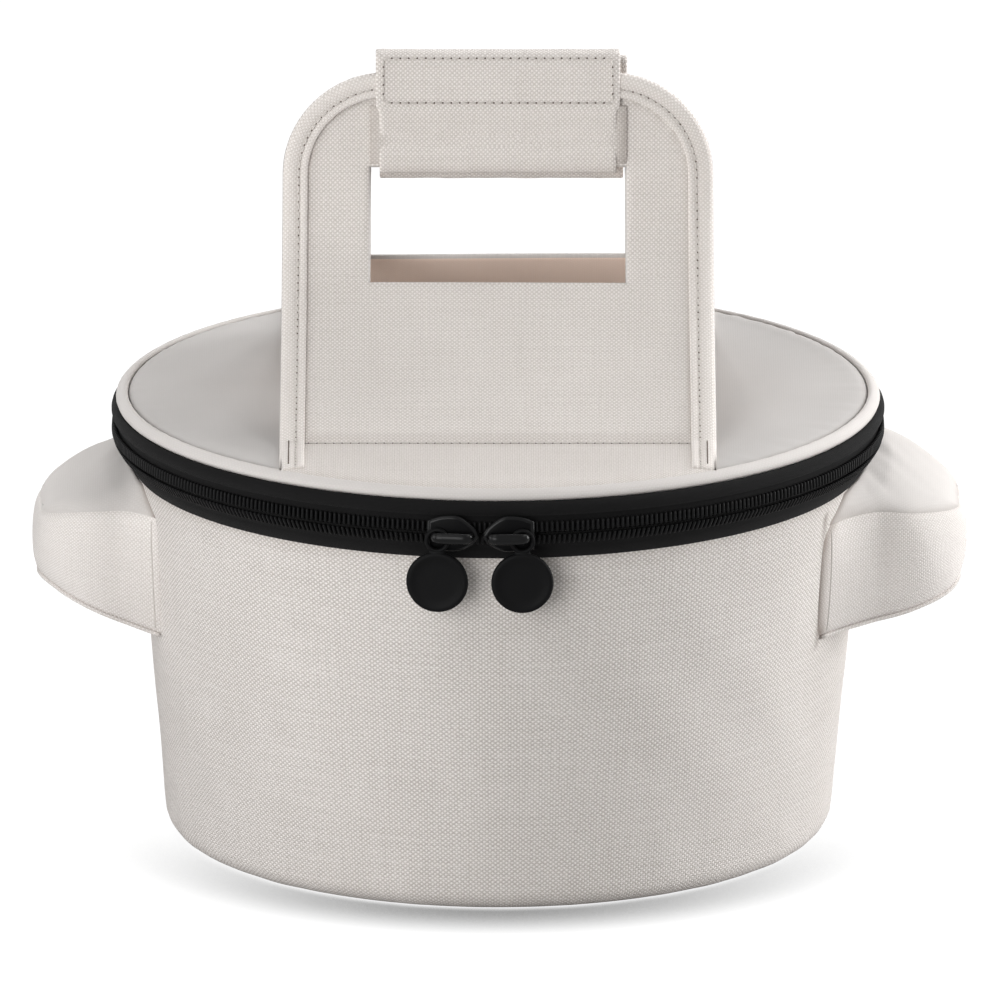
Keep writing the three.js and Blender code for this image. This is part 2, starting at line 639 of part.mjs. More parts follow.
// An arch over the outer plate that the pull hangs on
function sliderBridge() {
  const half = BRIDGE_SPAN / 2;
  const foot = -bridgeSeat - LAYER_GAP;
  const top = -bridgeSeat - BRIDGE_RISE;
  const shoulder = top + BRIDGE_BAR;
  const curve = new THREE.CurvePath();
  const at = (x, y) => new THREE.Vector3(x, y, zipMiddle);
  const bend = half - BRIDGE_BAR;
  curve.add(new THREE.LineCurve3(at(-half, foot), at(-half, shoulder)));
  curve.add(new THREE.QuadraticBezierCurve3(at(-half, shoulder), at(-half, top), at(-bend, top)));
  curve.add(new THREE.LineCurve3(at(-bend, top), at(bend, top)));
  curve.add(new THREE.QuadraticBezierCurve3(at(bend, top), at(half, top), at(half, shoulder)));
  curve.add(new THREE.LineCurve3(at(half, shoulder), at(half, foot)));
  const section = new THREE.Shape().absarc(0, 0, BRIDGE_BAR, 0, 2 * Math.PI);
  const facets = { steps: BRIDGE_STEPS, curveSegments: BRIDGE_CORNERS };
  return new THREE.ExtrudeGeometry(section, { ...facets, extrudePath: curve, bevelEnabled: false });
}

// A ring about the y axis, as a closed [radius, y] profile around a middle
function flatRing(profile, middle) {
  const points = profile.map(([r, y]) => new THREE.Vector2(r, y));
  return new THREE.LatheGeometry(points, PULL_AROUND).translate(middle.x, middle.y, middle.z);
}

// A dished disc with an eye around the outer leg of the bridge, hanging from it
function sliderPull(nose) {
  const legX = (-nose * BRIDGE_SPAN) / 2;
  const plane = -bridgeSeat - HOLE_GAP - PULL_THICK / 2;
  const eyeDrop = EYE_HOLE - BRIDGE_BAR - HOLE_GAP;
  const eyeMiddle = new THREE.Vector3(legX, plane, zipMiddle - eyeDrop);
  const discDrop = eyeDrop + EYE_RADIUS + PULL_RADIUS - EYE_OVERLAP;
  const discMiddle = new THREE.Vector3(legX, plane, zipMiddle - discDrop);
  const half = PULL_THICK / 2;
  const dish = half - PULL_DISH;
  const discProfile = [
    [0, -dish],
    [PULL_RADIUS - PULL_RIM, -dish],
    [PULL_RADIUS - PULL_DISH, -half],
    [PULL_RADIUS, 0],
    [PULL_RADIUS - PULL_DISH, half],
    [0, half],
  ];
  const eyeHalf = EYE_THICK / 2;
  const eyeProfile = [
    [EYE_HOLE, -eyeHalf],
    [EYE_RADIUS, -eyeHalf],
    [EYE_RADIUS, eyeHalf],
    [EYE_HOLE, eyeHalf],
    [EYE_HOLE, -eyeHalf],
  ];
  return solidOf(flatRing(discProfile, discMiddle)).add(solidOf(flatRing(eyeProfile, eyeMiddle)));
}

// Sliders meet nose to nose; each turns with its pull about the middle of the rim
function buildSlider(name, nose) {
  const innerRadius = innerPlateFace - SLIDER_PLATE;
  const halfAngle = Math.atan(SLIDER_LENGTH / 2 / innerRadius) + SLIDER_APART / 2 / innerRadius;
  const slider = new THREE.Group();
  slider.rotation.z = MEETING_POINT / TEETH_RADIUS - nose * halfAngle;
  carrier.add(slider);
  addPiece(slider, `${name}_slider_body`, geometryOf(sliderBody(nose)), BLACK, 0.35);
  addPiece(slider, `${name}_slider_bridge`, sliderBridge(), BLACK, 0.25);
  addPiece(slider, `${name}_pull`, geometryOf(sliderPull(nose)), BLACK, 0.6);
}

buildTub();
buildEar("right", 0);
buildEar("left", Math.PI);
buildZip();
buildLid();
buildHandle("front", "hook", 0, handleTop);
buildHandle("rear", "loop", Math.PI, handleTop - REAR_DROP);
buildSlider("left", 1);
buildSlider("right", -1);

export default carrier;
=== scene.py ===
"""Insulated casserole carrier: cloth, padding, zip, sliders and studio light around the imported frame.

Metres, +Z up, +X to the right ear, -Y to the front, where the zip sliders meet.
"""

from __future__ import annotations

import json
import logging
import math
from dataclasses import dataclass, field
from enum import Enum
from functools import cached_property
from typing import Callable, Sequence, Union

import bpy
import numpy as np
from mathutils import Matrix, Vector


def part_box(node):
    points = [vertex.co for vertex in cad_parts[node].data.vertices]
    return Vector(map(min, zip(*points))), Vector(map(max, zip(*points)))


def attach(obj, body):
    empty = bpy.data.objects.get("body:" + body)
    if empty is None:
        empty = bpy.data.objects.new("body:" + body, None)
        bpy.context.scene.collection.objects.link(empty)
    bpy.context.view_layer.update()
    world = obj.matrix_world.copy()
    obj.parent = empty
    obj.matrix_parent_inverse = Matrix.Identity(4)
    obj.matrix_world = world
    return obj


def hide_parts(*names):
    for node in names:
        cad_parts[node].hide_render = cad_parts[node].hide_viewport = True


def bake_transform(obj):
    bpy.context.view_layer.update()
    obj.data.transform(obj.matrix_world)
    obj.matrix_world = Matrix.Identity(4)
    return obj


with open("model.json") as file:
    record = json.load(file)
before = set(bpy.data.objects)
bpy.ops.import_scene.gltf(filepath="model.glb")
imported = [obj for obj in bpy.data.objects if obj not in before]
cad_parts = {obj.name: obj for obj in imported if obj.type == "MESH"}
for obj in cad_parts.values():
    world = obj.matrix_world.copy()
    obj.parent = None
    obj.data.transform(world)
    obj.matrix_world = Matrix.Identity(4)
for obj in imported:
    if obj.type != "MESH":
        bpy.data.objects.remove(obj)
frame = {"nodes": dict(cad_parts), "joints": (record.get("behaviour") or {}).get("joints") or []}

Array = np.ndarray
RGB = tuple[float, float, float]
Shade = Callable[[Array], Array]
Socket = Union[bpy.types.NodeSocket, float]

LOG = logging.getLogger("carrier")
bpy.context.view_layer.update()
MM = 0.001
CLOTH_MAP = "cloth"
# Name of the mesh attribute that holds painted shade, darkest in seams and folds.
PAINTED_SEAM_SHADING_ATTRIBUTE = "painted_seam_shading"
EDGE_ROLL = 0.4
LID_EDGE = 4.7 * MM


class Side(Enum):
    """The two ends of the front-to-back axis, with the turn that takes the front one there."""

    FRONT = "front"
    REAR = "rear"

    @property
    def turn(self) -> float:
        """Angle about the vertical axis from the front to this side."""
        return 0.0 if self is Side.FRONT else math.pi


class Hand(Enum):
    """Left and right, as seen from the front."""

    LEFT = "left"
    RIGHT = "right"

    @property
    def sign(self) -> float:
        """Direction along X."""
        return -1.0 if self is Hand.LEFT else 1.0


# Node trees

class Nodes:
    """A node tree, with short calls for the nodes used here."""

    def __init__(self, tree: bpy.types.NodeTree) -> None:
        """Starts from an empty tree."""
        self.tree = tree
        tree.nodes.clear()

    def feed(self, socket: bpy.types.NodeSocket, value: object) -> None:
        """Links a socket to another, or sets its constant value."""
        if isinstance(value, bpy.types.NodeSocket):
            self.tree.links.new(value, socket)
        else:
            socket.default_value = value

    def node(self, kind: str, **inputs: object) -> bpy.types.Node:
        """A new node with some sockets fed by name, with underscores for blanks."""
        node = self.tree.nodes.new(f"ShaderNode{kind}")
        for name, value in inputs.items():
            self.feed(node.inputs[name.replace("_", " ")], value)
        return node

    def math(self, operation: str, first: Socket, second: Socket = 0.0) -> bpy.types.NodeSocket:
        """One arithmetic step."""
        node = self.node("Math")
        node.operation = operation
        self.feed(node.inputs[0], first)
        self.feed(node.inputs[1], second)
        return node.outputs[0]

    def vector(self, x: Socket, y: Socket, z: Socket = 0.0) -> bpy.types.NodeSocket:
        """Joins three numbers into a vector."""
        return self.node("CombineXYZ", X=x, Y=y, Z=z).outputs[0]

    def seen(self) -> bpy.types.NodeSocket:
        """Is 1 for rays from the camera, from gloss and through glass, and 0 for the rest."""
        rays = self.node("LightPath").outputs
        both = self.math("MAXIMUM", rays["Is Camera Ray"], rays["Is Glossy Ray"])
        return self.math("MAXIMUM", both, rays["Is Transmission Ray"])


class Shader(Nodes):
    """A material's node tree around one Principled shader."""

    def __init__(self, name: str) -> None:
        """Makes an empty material with its shader and output."""
        self.material = bpy.data.materials.new(name)
        self.material.use_nodes = True
        super().__init__(self.material.node_tree)
        self.shader = self.node("BsdfPrincipled")
        self.node("OutputMaterial", Surface=self.shader.outputs[0])

    def set(self, **values: object) -> None:
        """Feeds the shader's own sockets, named with underscores for blanks."""
        for name, value in values.items():
            key = next(i for i in self.shader.inputs if i.name.lower().replace(" ", "_") == name)
            self.feed(key, (*value, 1.0) if isinstance(value, tuple) else value)

    def total(self, *parts: tuple[Socket, float]) -> bpy.types.NodeSocket:
        """Weighted sum of sockets, given as (socket, weight) pairs."""
        result: Socket = 0.0
        for socket, weight in parts:
            result = self.math("ADD", result, self.math("MULTIPLY", socket, weight))
        return result

    def cloth(self) -> tuple[bpy.types.NodeSocket, bpy.types.NodeSocket]:
        """Cloth coordinates along the two thread directions, in metres."""
        node = self.node("UVMap")
        node.uv_map = CLOTH_MAP
        u, v, _ = self.node("SeparateXYZ", Vector=node.outputs[0]).outputs
        return u, v

    def place(self) -> bpy.types.NodeSocket:
        """The object's own coordinates."""
        return self.node("TexCoord").outputs["Object"]

    def noise(self, place: bpy.types.NodeSocket, scale: float, detail: float = 2.0) -> bpy.types.NodeSocket:
        """Smooth noise from 0 to 1 at a number of waves per metre."""
        return self.node("TexNoise", Scale=scale, Detail=detail, Vector=place).outputs[0]

    def mix(self, share: Socket, first: Union[RGB, Socket], second: RGB) -> bpy.types.NodeSocket:
        """Colour between two, by a share from 0 to 1."""
        node = self.node("Mix")
        node.data_type = "RGBA"
        self.feed(node.inputs[0], share)
        for socket, value in ((node.inputs[6], first), (node.inputs[7], second)):
            self.feed(socket, (*value, 1.0) if isinstance(value, tuple) else value)
        return node.outputs[2]

    def painted_seam_shading(self) -> bpy.types.NodeSocket:
        """Painted shade stored on the mesh, from 0 to 1, most in seams and folds."""
        node = self.node("Attribute")
        node.attribute_name = PAINTED_SEAM_SHADING_ATTRIBUTE
        return node.outputs["Fac"]

    def bump(self, height: bpy.types.NodeSocket, depth: float, strength: float = 1.0) -> None:
        """Raises the surface by height times depth in metres."""
        node = self.node("Bump", Strength=strength, Distance=depth, Height=height)
        self.feed(self.shader.inputs["Normal"], node.outputs[0])


# Finishes

@dataclass(frozen=True)
class Canvas:
    """Plain-woven canvas, a light warp over a darker weft, with slubs, and with painted shade in the gaps
    between yarns and in its seams.
    """

    name: str
    warp: RGB
    weft: RGB
    contrast: float = 1.0
    yarn: float = 1.0 * MM
    pick: float = 0.98 * MM
    relief: float = 0.24 * MM
    seam_shade: float = 0.8

    def material(self) -> bpy.types.Material:
        """Builds the material."""
        shader = Shader(self.name)
        u, v = shader.cloth()
        wobble = shader.noise(shader.vector(u, v), 260.0)
        sway = shader.math("MULTIPLY", shader.math("SUBTRACT", wobble, 0.5), 0.5 * self.yarn)
        swayed = shader.math("ADD", u, sway)
        across = shader.math("SINE", shader.math("MULTIPLY", swayed, math.pi / self.yarn))
        along = shader.math("SINE", shader.math("MULTIPLY", shader.math("ADD", v, sway), math.pi / self.pick))
        over = shader.math("MULTIPLY", across, along)
        warp = shader.math("MULTIPLY", shader.math("ABSOLUTE", across), shader.total((over, 0.4), (1.0, 0.6)))
        weft = shader.math("MULTIPLY", shader.math("ABSOLUTE", along), shader.total((over, -0.4), (1.0, 0.6)))
        height = shader.math("MAXIMUM", warp, weft)
        slubs = shader.noise(shader.vector(shader.math("MULTIPLY", u, 0.02), v), 900.0, 3.0)
        threads = shader.noise(shader.vector(u, shader.math("MULTIPLY", v, 0.03)), 700.0, 3.0)
        cloud = shader.noise(shader.vector(u, v), 24.0, 3.0)
        # Painted shade: the gaps between the yarns are darkened.
        gap = shader.math("SUBTRACT", 1.0, height)
        speck = shader.noise(shader.vector(u, v), 800.0, 2.0)
        weave = shader.total((over, -0.45), (gap, 0.7), (slubs, 0.3), (threads, 0.2), (speck, 0.6),
                             (1.0, -0.865))
        tone = shader.total((weave, self.contrast), (cloud, 0.3), (1.0, 0.35))
        tone.node.use_clamp = True
        colour = shader.mix(tone, self.warp, self.weft)
        # Painted shade: the colour darkens towards a brown shade of the weft where the mesh's painted-shade
        # attribute is high, in seams and folds.
        shade = tuple(c * d for c, d in zip(self.weft, (0.42, 0.36, 0.32)))
        depth = shader.math("MULTIPLY", shader.painted_seam_shading(), self.seam_shade)
        shader.set(base_color=shader.mix(depth, colour, shade), roughness=0.92, sheen_weight=0.12)
        shader.set(sheen_roughness=0.6, specular_ior_level=0.18)
        relief = shader.total((height, 1.0), (slubs, 0.24), (threads, 0.12))
        shader.bump(relief, self.relief * min(self.contrast, 1.3), 0.75)
        return shader.material


@dataclass(frozen=True)
class Twill:
    """Tightly woven tape with fine diagonal ribs."""

    name: str
    colour: RGB
    rib: float = 0.75 * MM

    def material(self) -> bpy.types.Material:
        """Builds the material."""
        shader = Shader(self.name)
        u, v = shader.cloth()
        slant = shader.math("MULTIPLY", shader.total((u, 1.0), (v, 1.7)), math.pi / self.rib)
        rib = shader.math("ABSOLUTE", shader.math("SINE", slant))
        fuzz = shader.noise(shader.vector(u, v), 1800.0, 3.0)
        cloud = shader.noise(shader.vector(u, v), 40.0)
        lighter = tuple(2.8 * c + 0.002 for c in self.colour)
        tone = shader.total((rib, 0.28), (fuzz, 0.35), (cloud, 0.3), (1.0, -0.2))
        shader.set(base_color=shader.mix(tone, self.colour, lighter), roughness=0.85, specular_ior_level=0.08)
        shader.set(sheen_weight=0.02, sheen_roughness=0.5)
        shader.bump(shader.total((rib, 1.0), (fuzz, 0.7)), 0.14 * MM, 0.6)
        return shader.material


@dataclass(frozen=True)
class Coated:
    """Thin wipe-clean lining with a faint rip-stop grid, soft creases and painted shade in its seams."""

    name: str
    colour: RGB
    grid: float = 5.0 * MM

    def material(self) -> bpy.types.Material:
        """Builds the material."""
        shader = Shader(self.name)
        u, v = shader.cloth()
        lines = [shader.math("ABSOLUTE", shader.math("SINE", shader.math("MULTIPLY", c, math.pi / self.grid)))
                 for c in (u, v)]
        thread = shader.math("LESS_THAN", shader.math("MINIMUM", *lines), 0.12)
        creases = shader.noise(shader.vector(u, v), 45.0, 5.0)
        lighter = tuple(min(1.0, 1.25 * c) for c in self.colour)
        # Painted shade from the mesh darkens the lining in seams and near its edges.
        tone = shader.total((thread, 0.45), (creases, 0.6), (shader.painted_seam_shading(), -0.8))
        shader.set(base_color=shader.mix(tone, self.colour, lighter), roughness=0.48, specular_ior_level=0.4)
        shader.bump(shader.total((thread, 0.25), (creases, 1.0)), 0.5 * MM, 0.7)
        return shader.material


@dataclass(frozen=True)
class Plain:
    """A finish without a weave, such as foam or lacquer: two close colours, a grain and a gloss."""

    name: str
    colour: RGB
    other: float
    roughness: float
    grain: float
    fine: float = 2600.0
    gloss: float = 0.3
    coat: float = 0.0

    def material(self) -> bpy.types.Material:
        """Builds the material."""
        shader = Shader(self.name)
        fine = shader.noise(shader.place(), self.fine, 3.0)
        smears = shader.noise(shader.place(), 140.0, 4.0)
        other = tuple(self.other * c for c in self.colour)
        shader.set(base_color=shader.mix(shader.total((smears, 0.5), (fine, 0.5)), self.colour, other))
        spread = shader.total((smears, 0.16), (fine, 0.08), (1.0, self.roughness - 0.12))
        shader.set(roughness=spread, coat_weight=self.coat, coat_roughness=0.12,
                   specular_ior_level=self.gloss)
        shader.bump(fine, self.grain, 0.5)
        return shader.material


class Finish(Enum):
    """Every finish of the carrier."""

    CANVAS = Canvas("cream canvas", (0.800, 0.765, 0.741), (0.473, 0.435, 0.404), 1.6, 1.28 * MM, 0.96 * MM)
    EAR = Canvas("ear canvas", (0.855, 0.819, 0.795), (0.578, 0.536, 0.502), 0.9, 0.88 * MM, 0.78 * MM)
    SMOOTH = Canvas("smooth canvas", (0.674, 0.646, 0.628), (0.536, 0.505, 0.480), 0.25)
    HANDLE = Canvas("handle canvas", (0.848, 0.807, 0.777), (0.541, 0.496, 0.458))
    # Painted light: a warmer copy of the handle canvas for the handles' inner faces, standing for warm light
    # that bounces between the two panels.
    INSIDE = Canvas("handle inside", (0.950, 0.790, 0.690), (0.900, 0.720, 0.610), 0.5)
    LID_CANVAS = Canvas("lid canvas", (0.546, 0.527, 0.515), (0.420, 0.399, 0.382), 0.2)
    BINDING = Canvas("cream binding", (0.848, 0.807, 0.777), (0.594, 0.546, 0.504), 0.8)
    LINING = Coated("grey lining", (0.34, 0.33, 0.32))
    FOAM = Plain("white foam", (0.78, 0.77, 0.74), 0.82, 0.88, 0.35 * MM, 900.0, 0.25)
    TAPE = Twill("black zip tape", (0.0042, 0.0041, 0.0042))
    TEETH = Plain("black coil", (0.0040, 0.0040, 0.0042), 1.7, 0.5, 0.05 * MM, gloss=0.07)
    SLIDER = Plain("glossy black slider", (0.003, 0.003, 0.0032), 1.6, 0.22, 0.01 * MM, gloss=0.10, coat=0.05)
    PLATE = Plain("black slider plate", (0.0020, 0.0020, 0.0022), 1.5, 0.45, 0.01 * MM, gloss=0.04)
    PULL = Plain("matte black pull", (0.0032, 0.0032, 0.0034), 1.5, 0.50, 0.10 * MM, gloss=0.055)
    BOARD = Plain("black board", (0.020, 0.020, 0.020), 1.5, 0.55, 0.15 * MM)
    THREAD = Plain("cream thread", (0.70, 0.66, 0.62), 0.7, 0.7, 0.08 * MM, 3200.0)
    # Painted shade: a dark brown for the needle holes and the binding's slits, standing for the shade in
    # them.
    HOLE = Plain("needle hole", (0.17, 0.14, 0.12), 0.7, 0.9, 0.05 * MM, gloss=0.05)
    PILE = Plain("fastener pile", (0.66, 0.62, 0.58), 0.6, 0.95, 0.6 * MM, 1500.0, 0.1)

    @cached_property
    def material(self) -> bpy.types.Material:
        """The finish's material, made once."""
        return self.value.material()


STITCHED = (Finish.THREAD, Finish.HOLE)


# Meshes

@dataclass
class Skin:
    """Points and four-sided faces of a mesh, with cloth coordinates at each corner of a face."""

    points: Array
    faces: Array
    cloth: Array
    finish: Array

    @staticmethod
    def of(points: Array, faces: Array, cloth: Array, finish: int = 0) -> "Skin":
        """A skin with one finish, from cloth coordinates given per point or per corner."""
        corners = cloth if cloth.ndim == 3 else cloth[faces]
        return Skin(points, faces, corners, np.full(len(faces), finish))

    @staticmethod
    def joined(skins: Sequence["Skin"]) -> "Skin":
        """Several skins as one."""
        starts = np.cumsum([0] + [len(s.points) for s in skins])
        return Skin(
            np.concatenate([s.points for s in skins]),
            np.concatenate([s.faces + start for s, start in zip(skins, starts)]),
            np.concatenate([s.cloth for s in skins]),
            np.concatenate([s.finish for s in skins]),
        )

    def outward(self) -> "Skin":
        """The same skin with its faces turned out, if it was inside out."""
        corner = self.points[self.faces]
        first = np.einsum("ij,ij->i", corner[:, 0], np.cross(corner[:, 1], corner[:, 2]))
        second = np.einsum("ij,ij->i", corner[:, 0], np.cross(corner[:, 2], corner[:, 3]))
        if (first + second).sum() < 0:
            self.faces = self.faces[:, ::-1]
            self.cloth = self.cloth[:, ::-1]
        return self

    def turned(self, angle: float) -> "Skin":
        """The skin turned about the vertical axis."""
        c, s = math.cos(angle), math.sin(angle)
        spin = np.array([[c, s, 0.0], [-s, c, 0.0], [0.0, 0.0, 1.0]])
        return Skin(self.points @ spin, self.faces, self.cloth, self.finish)


def together(*parts: Array | float) -> Array:
    """Coordinates as points: arrays or single values side by side in a last axis."""
    return np.stack(np.broadcast_arrays(*parts), axis=-1)


def chain(*parts: Array, axis: int = 0) -> Array:
    """Lists of points one after the other."""
    return np.concatenate(parts, axis=axis)


def merged(*parts: Array, digits: int = 9) -> Array:
    """All the given places in order, each once."""
    return np.unique(np.round(np.concatenate(parts), digits))


def ring(count: int) -> Array:
    """Even angles once round."""
    return math.tau * np.arange(count) / count


def run_length(points: Array) -> Array:
    """Distance along a line from its first point to each one."""
    return np.concatenate([[0.0], np.cumsum(np.linalg.norm(np.diff(points, axis=0), axis=1))])


def ring_cap(indices: Sequence[int]) -> Array:
    """Faces that close an even ring, joining each corner to its mirror across the ring.

    Args:
        indices: The ring's points in order.

    Returns:
        Rows of four indices.
    """
    first = np.asarray(indices)[: len(indices) // 2]
    last = np.asarray(indices)[::-1][: len(first)]
    return together(first[:-1], first[1:], last[1:], last[:-1])


def unit(vectors: Array) -> Array:
    """Vectors of length one."""
    return vectors / np.maximum(np.linalg.norm(vectors, axis=-1, keepdims=True), 1e-12)


@dataclass
class Surface:
    """A grid of points with cloth coordinates; a wrapped one closes its columns into a ring."""

    points: Array
    cloth: Array
    wrap: bool = False

    def grid_faces(self) -> tuple[Array, Array]:
        """Faces of the grid and their corners' cloth coordinates, by cell."""
        rows, columns = self.points.shape[:2]
        index = np.arange(rows * columns).reshape(rows, columns)
        left = index if self.wrap else index[:, :-1]
        right = np.roll(index, -1, axis=1) if self.wrap else index[:, 1:]
        faces = together(left[:-1], right[:-1], right[1:], left[1:])
        a, b = self.cloth[:, :-1], self.cloth[:, 1:]
        return faces, np.stack([a[:-1], b[:-1], b[1:], a[1:]], axis=-2)

    def normals(self) -> Array:
        """Outward directions at the points."""
        p = self.points
        if self.wrap:
            across = np.roll(p, -1, axis=1) - np.roll(p, 1, axis=1)
        else:
            across = np.gradient(p, axis=1)
        return unit(np.cross(across, np.gradient(p, axis=0)))

    def raised(self, amount: Array) -> "Surface":
        """The surface moved out along its normals."""
        return Surface(self.points + self.normals() * amount[..., None], self.cloth, self.wrap)

    def shell(self, thickness: float | Array, keep: Array | None = None, inside: int = 0,
              edge: int = 0) -> Skin:
        """Cloth of a thickness under the surface, with rounded cut edges.

        Args:
            thickness: Depth below the surface, in metres, one for all or one per point.
            keep: Cells that are cloth, as a grid of true and false; the rest is cut away.
            inside: Finish of the faces on the inner side.
            edge: Finish of the cut edges.

        Returns:
            A closed skin.
        """
        faces, corners = self.grid_faces()
        mask = np.ones(faces.shape[:2], bool) if keep is None else keep
        faces, corners = faces[mask], corners[mask]
        flat = self.points.reshape(-1, 3)
        normal = self.normals().reshape(-1, 3)
        deep = np.broadcast_to(thickness, self.points.shape[:2]).reshape(-1, 1)
        count = len(flat)
        cloth = self.cloth[:, : self.points.shape[1]].reshape(-1, 2)
        edges = np.concatenate([faces[:, [i, (i + 1) % 4]] for i in range(4)])
        codes, backs = edges[:, 0] * count + edges[:, 1], edges[:, 1] * count + edges[:, 0]
        border = edges[~np.isin(codes, backs)]
        away = np.zeros_like(flat)
        direction = unit(flat[border[:, 1]] - flat[border[:, 0]])
        out = np.cross(direction, unit(normal[border[:, 0]] + normal[border[:, 1]]))
        np.add.at(away, border[:, 0], out)
        np.add.at(away, border[:, 1], out)
        middle = flat - normal * deep / 2 + unit(away) * EDGE_ROLL * deep
        a, b = border[:, 0], border[:, 1]
        upper = together(b, a, a + 2 * count, b + 2 * count)
        lower = together(b + 2 * count, a + 2 * count, a + count, b + count)
        points = chain(flat, flat - normal * deep, middle)
        everything = chain(faces, faces[:, ::-1] + count, upper, lower)
        coords = chain(cloth, cloth, cloth)
        side = chain(coords[upper], coords[lower])
        finish = np.zeros(len(everything), int)
        finish[len(faces): 2 * len(faces)] = inside
        finish[2 * len(faces):] = edge
        used, places = np.unique(everything, return_inverse=True)
        uv = chain(corners, corners[:, ::-1], side)
        return Skin(points[used], places.reshape(-1, 4), uv, finish)

    def tube(self) -> Skin:
        """A wrapped surface as a closed skin, with both ends capped."""
        faces, corners = self.grid_faces()
        rows, columns = self.points.shape[:2]
        first = ring_cap(list(range(columns)))[:, ::-1]
        last = ring_cap(list(range((rows - 1) * columns, rows * columns)))
        flat = self.points.reshape(-1, 3)
        coords = self.cloth[:, :columns].reshape(-1, 2)
        everything = chain(faces.reshape(-1, 4), first, last)
        uv = chain(corners.reshape(-1, 4, 2), coords[first], coords[last])
        return Skin(flat, everything, uv, np.zeros(len(everything), int)).outward()


def revolve(profile: Array, angles: Array, wrap: bool) -> Surface:
    """A surface of revolution about the vertical axis.

    Args:
        profile: Rows of radius and height, from low to high on an outer face.
        angles: Column angles from +X, anticlockwise.
        wrap: Whether the last column joins the first.

    Returns:
        The surface, with cloth coordinates along the rim and up the profile.
    """
    r, z = profile[:, :1], profile[:, 1:]
    turn = np.append(angles, angles[0] + math.tau) if wrap else angles
    cloth = together(turn * profile[:, 0].max(), run_length(profile)[:, None])
    return Surface(together(r * np.cos(angles), r * np.sin(angles), z), cloth, wrap)


def ring_angles(count: int, extra: Sequence[float] = ()) -> Array:
    """Angles once round from the back, with some exact ones added."""
    start = math.pi / 2
    return merged(start + ring(count), [start + (e - start) % math.tau for e in extra])


def lathe(profile: Array, columns: int) -> Skin:
    """A closed round piece from an open profile, with small caps at its two ends.

    Args:
        profile: Rows of radius and height.
        columns: Number of points round it, an even number.

    Returns:
        The skin, with flat cloth coordinates seen from above.
    """
    surface = revolve(profile, ring_angles(columns), True)
    flat = surface.points[..., :2]
    surface.cloth = chain(flat, flat[:, :1], axis=1)
    return surface.tube()


def arc(middle: Sequence[float], radius: float, start: float, end: float, steps: int) -> Array:
    """Points on an arc, with the angles in degrees."""
    turn = np.radians(np.linspace(start, end, steps + 1))
    return together(middle[0] + radius * np.cos(turn), middle[1] + radius * np.sin(turn))


def even_line(points: Array, step: float) -> Array:
    """The same line with points at an even step along it."""
    lengths = run_length(points)
    count = max(2, int(round(lengths[-1] / step)) + 1)
    at = np.linspace(0.0, lengths[-1], count)
    return together(*(np.interp(at, lengths, column) for column in points.T))


def cord(path: Array, radius: float, sides: int = 8) -> Skin:
    """A round cord along a path.

    Args:
        path: Points of its middle line.
        radius: Its radius.
        sides: Points round it, an even number.

    Returns:
        The closed skin.
    """
    ahead = unit(np.gradient(path, axis=0))
    up = np.where(np.abs(ahead[:, 2:]) > 0.9, (1.0, 0.0, 0.0), (0.0, 0.0, 1.0))
    side = unit(np.cross(ahead, up))
    above = np.cross(side, ahead)
    turn = ring(sides)
    out = np.cos(turn)[None, :, None] * side[:, None] + np.sin(turn)[None, :, None] * above[:, None]
    cloth = together(run_length(path)[:, None], np.append(turn, math.tau) * radius)
    return Surface(path[:, None] + radius * out, cloth, True).tube()


def faced_tube(rings: Array) -> Skin:
    """A capped tube through rings of points, with cloth coordinates seen from the front."""
    return Surface(rings, chain(rings, rings[:, :1], axis=1)[..., ::2], True).tube()


def plain_tube(rings: Array) -> Skin:
    """A capped tube through rings of points, for a finish without a weave."""
    rows, columns = rings.shape[:2]
    return Surface(rings, np.zeros((rows, columns + 1, 2)), True).tube()


@dataclass(frozen=True)
class Stitching:
    """A row of lockstitches: rounded thread on the cloth, with a dark button of painted shade for the needle
    hole between two stitches.
    """

    pitch: float = 3.6 * MM
    stitch: float = 2.7 * MM
    width: float = 0.42 * MM
    rise: float = 0.30 * MM
    hole: float = 0.42 * MM

    def thread(self) -> Skin:
        """One stitch along X, with Z off the cloth."""
        rows = np.array([-0.5, -0.36, 0.0, 0.36, 0.5])[:, None]
        size = np.array([0.35, 0.85, 1.0, 0.85, 0.35])[:, None]
        y = size * self.width * np.cos(ring(6))
        z = size * self.rise * np.sin(ring(6)) + (size - 0.5) * self.rise
        return plain_tube(together(rows * self.stitch, y, z))

    def needle_hole(self) -> Skin:
        """One needle hole: a shallow dark button, painted shade where the hole is."""
        r = np.array([1.0, 1.0, 0.6])[:, None] * self.hole
        h = np.array([-0.12, 0.03, 0.09])[:, None] * MM
        return plain_tube(together(r * np.cos(ring(6)), r * np.sin(ring(6)), h))

    def along(self, line: Array, normals: Array) -> Skin:
        """Stitches and holes along a line on the cloth.

        Args:
            line: Points on the cloth's surface.
            normals: Directions off the cloth at those points.

        Returns:
            The stitches with finish 0 and the needle holes, painted shade, with finish 1.
        """
        both = even_line(chain(line, normals, axis=1), self.pitch)
        place, off = both[:, :3], unit(both[:, 3:])
        ahead = unit(np.diff(place, axis=0))
        middle = (place[:-1] + place[1:]) / 2
        skins = []
        kinds = ((self.thread(), middle, ahead, unit(off[:-1] + off[1:])),
                 (self.needle_hole(), place[1:-1], ahead[1:], off[1:-1]))
        for finish, (one, centres, forward, up) in enumerate(kinds):
            points, side = one.points, unit(np.cross(up, forward))
            frame_axes = np.stack([forward, side, np.cross(forward, side)], axis=1)
            moved = centres[:, None] + np.einsum("pk,ski->spi", points, frame_axes)
            starts = np.arange(len(centres)) * len(points)
            all_faces = (one.faces[None] + starts[:, None, None]).reshape(-1, 4)
            cloth = np.tile(points[:, :2], (len(centres), 1))
            skins.append(Skin.of(moved.reshape(-1, 3), all_faces, cloth, finish))
        return Skin.joined(skins)


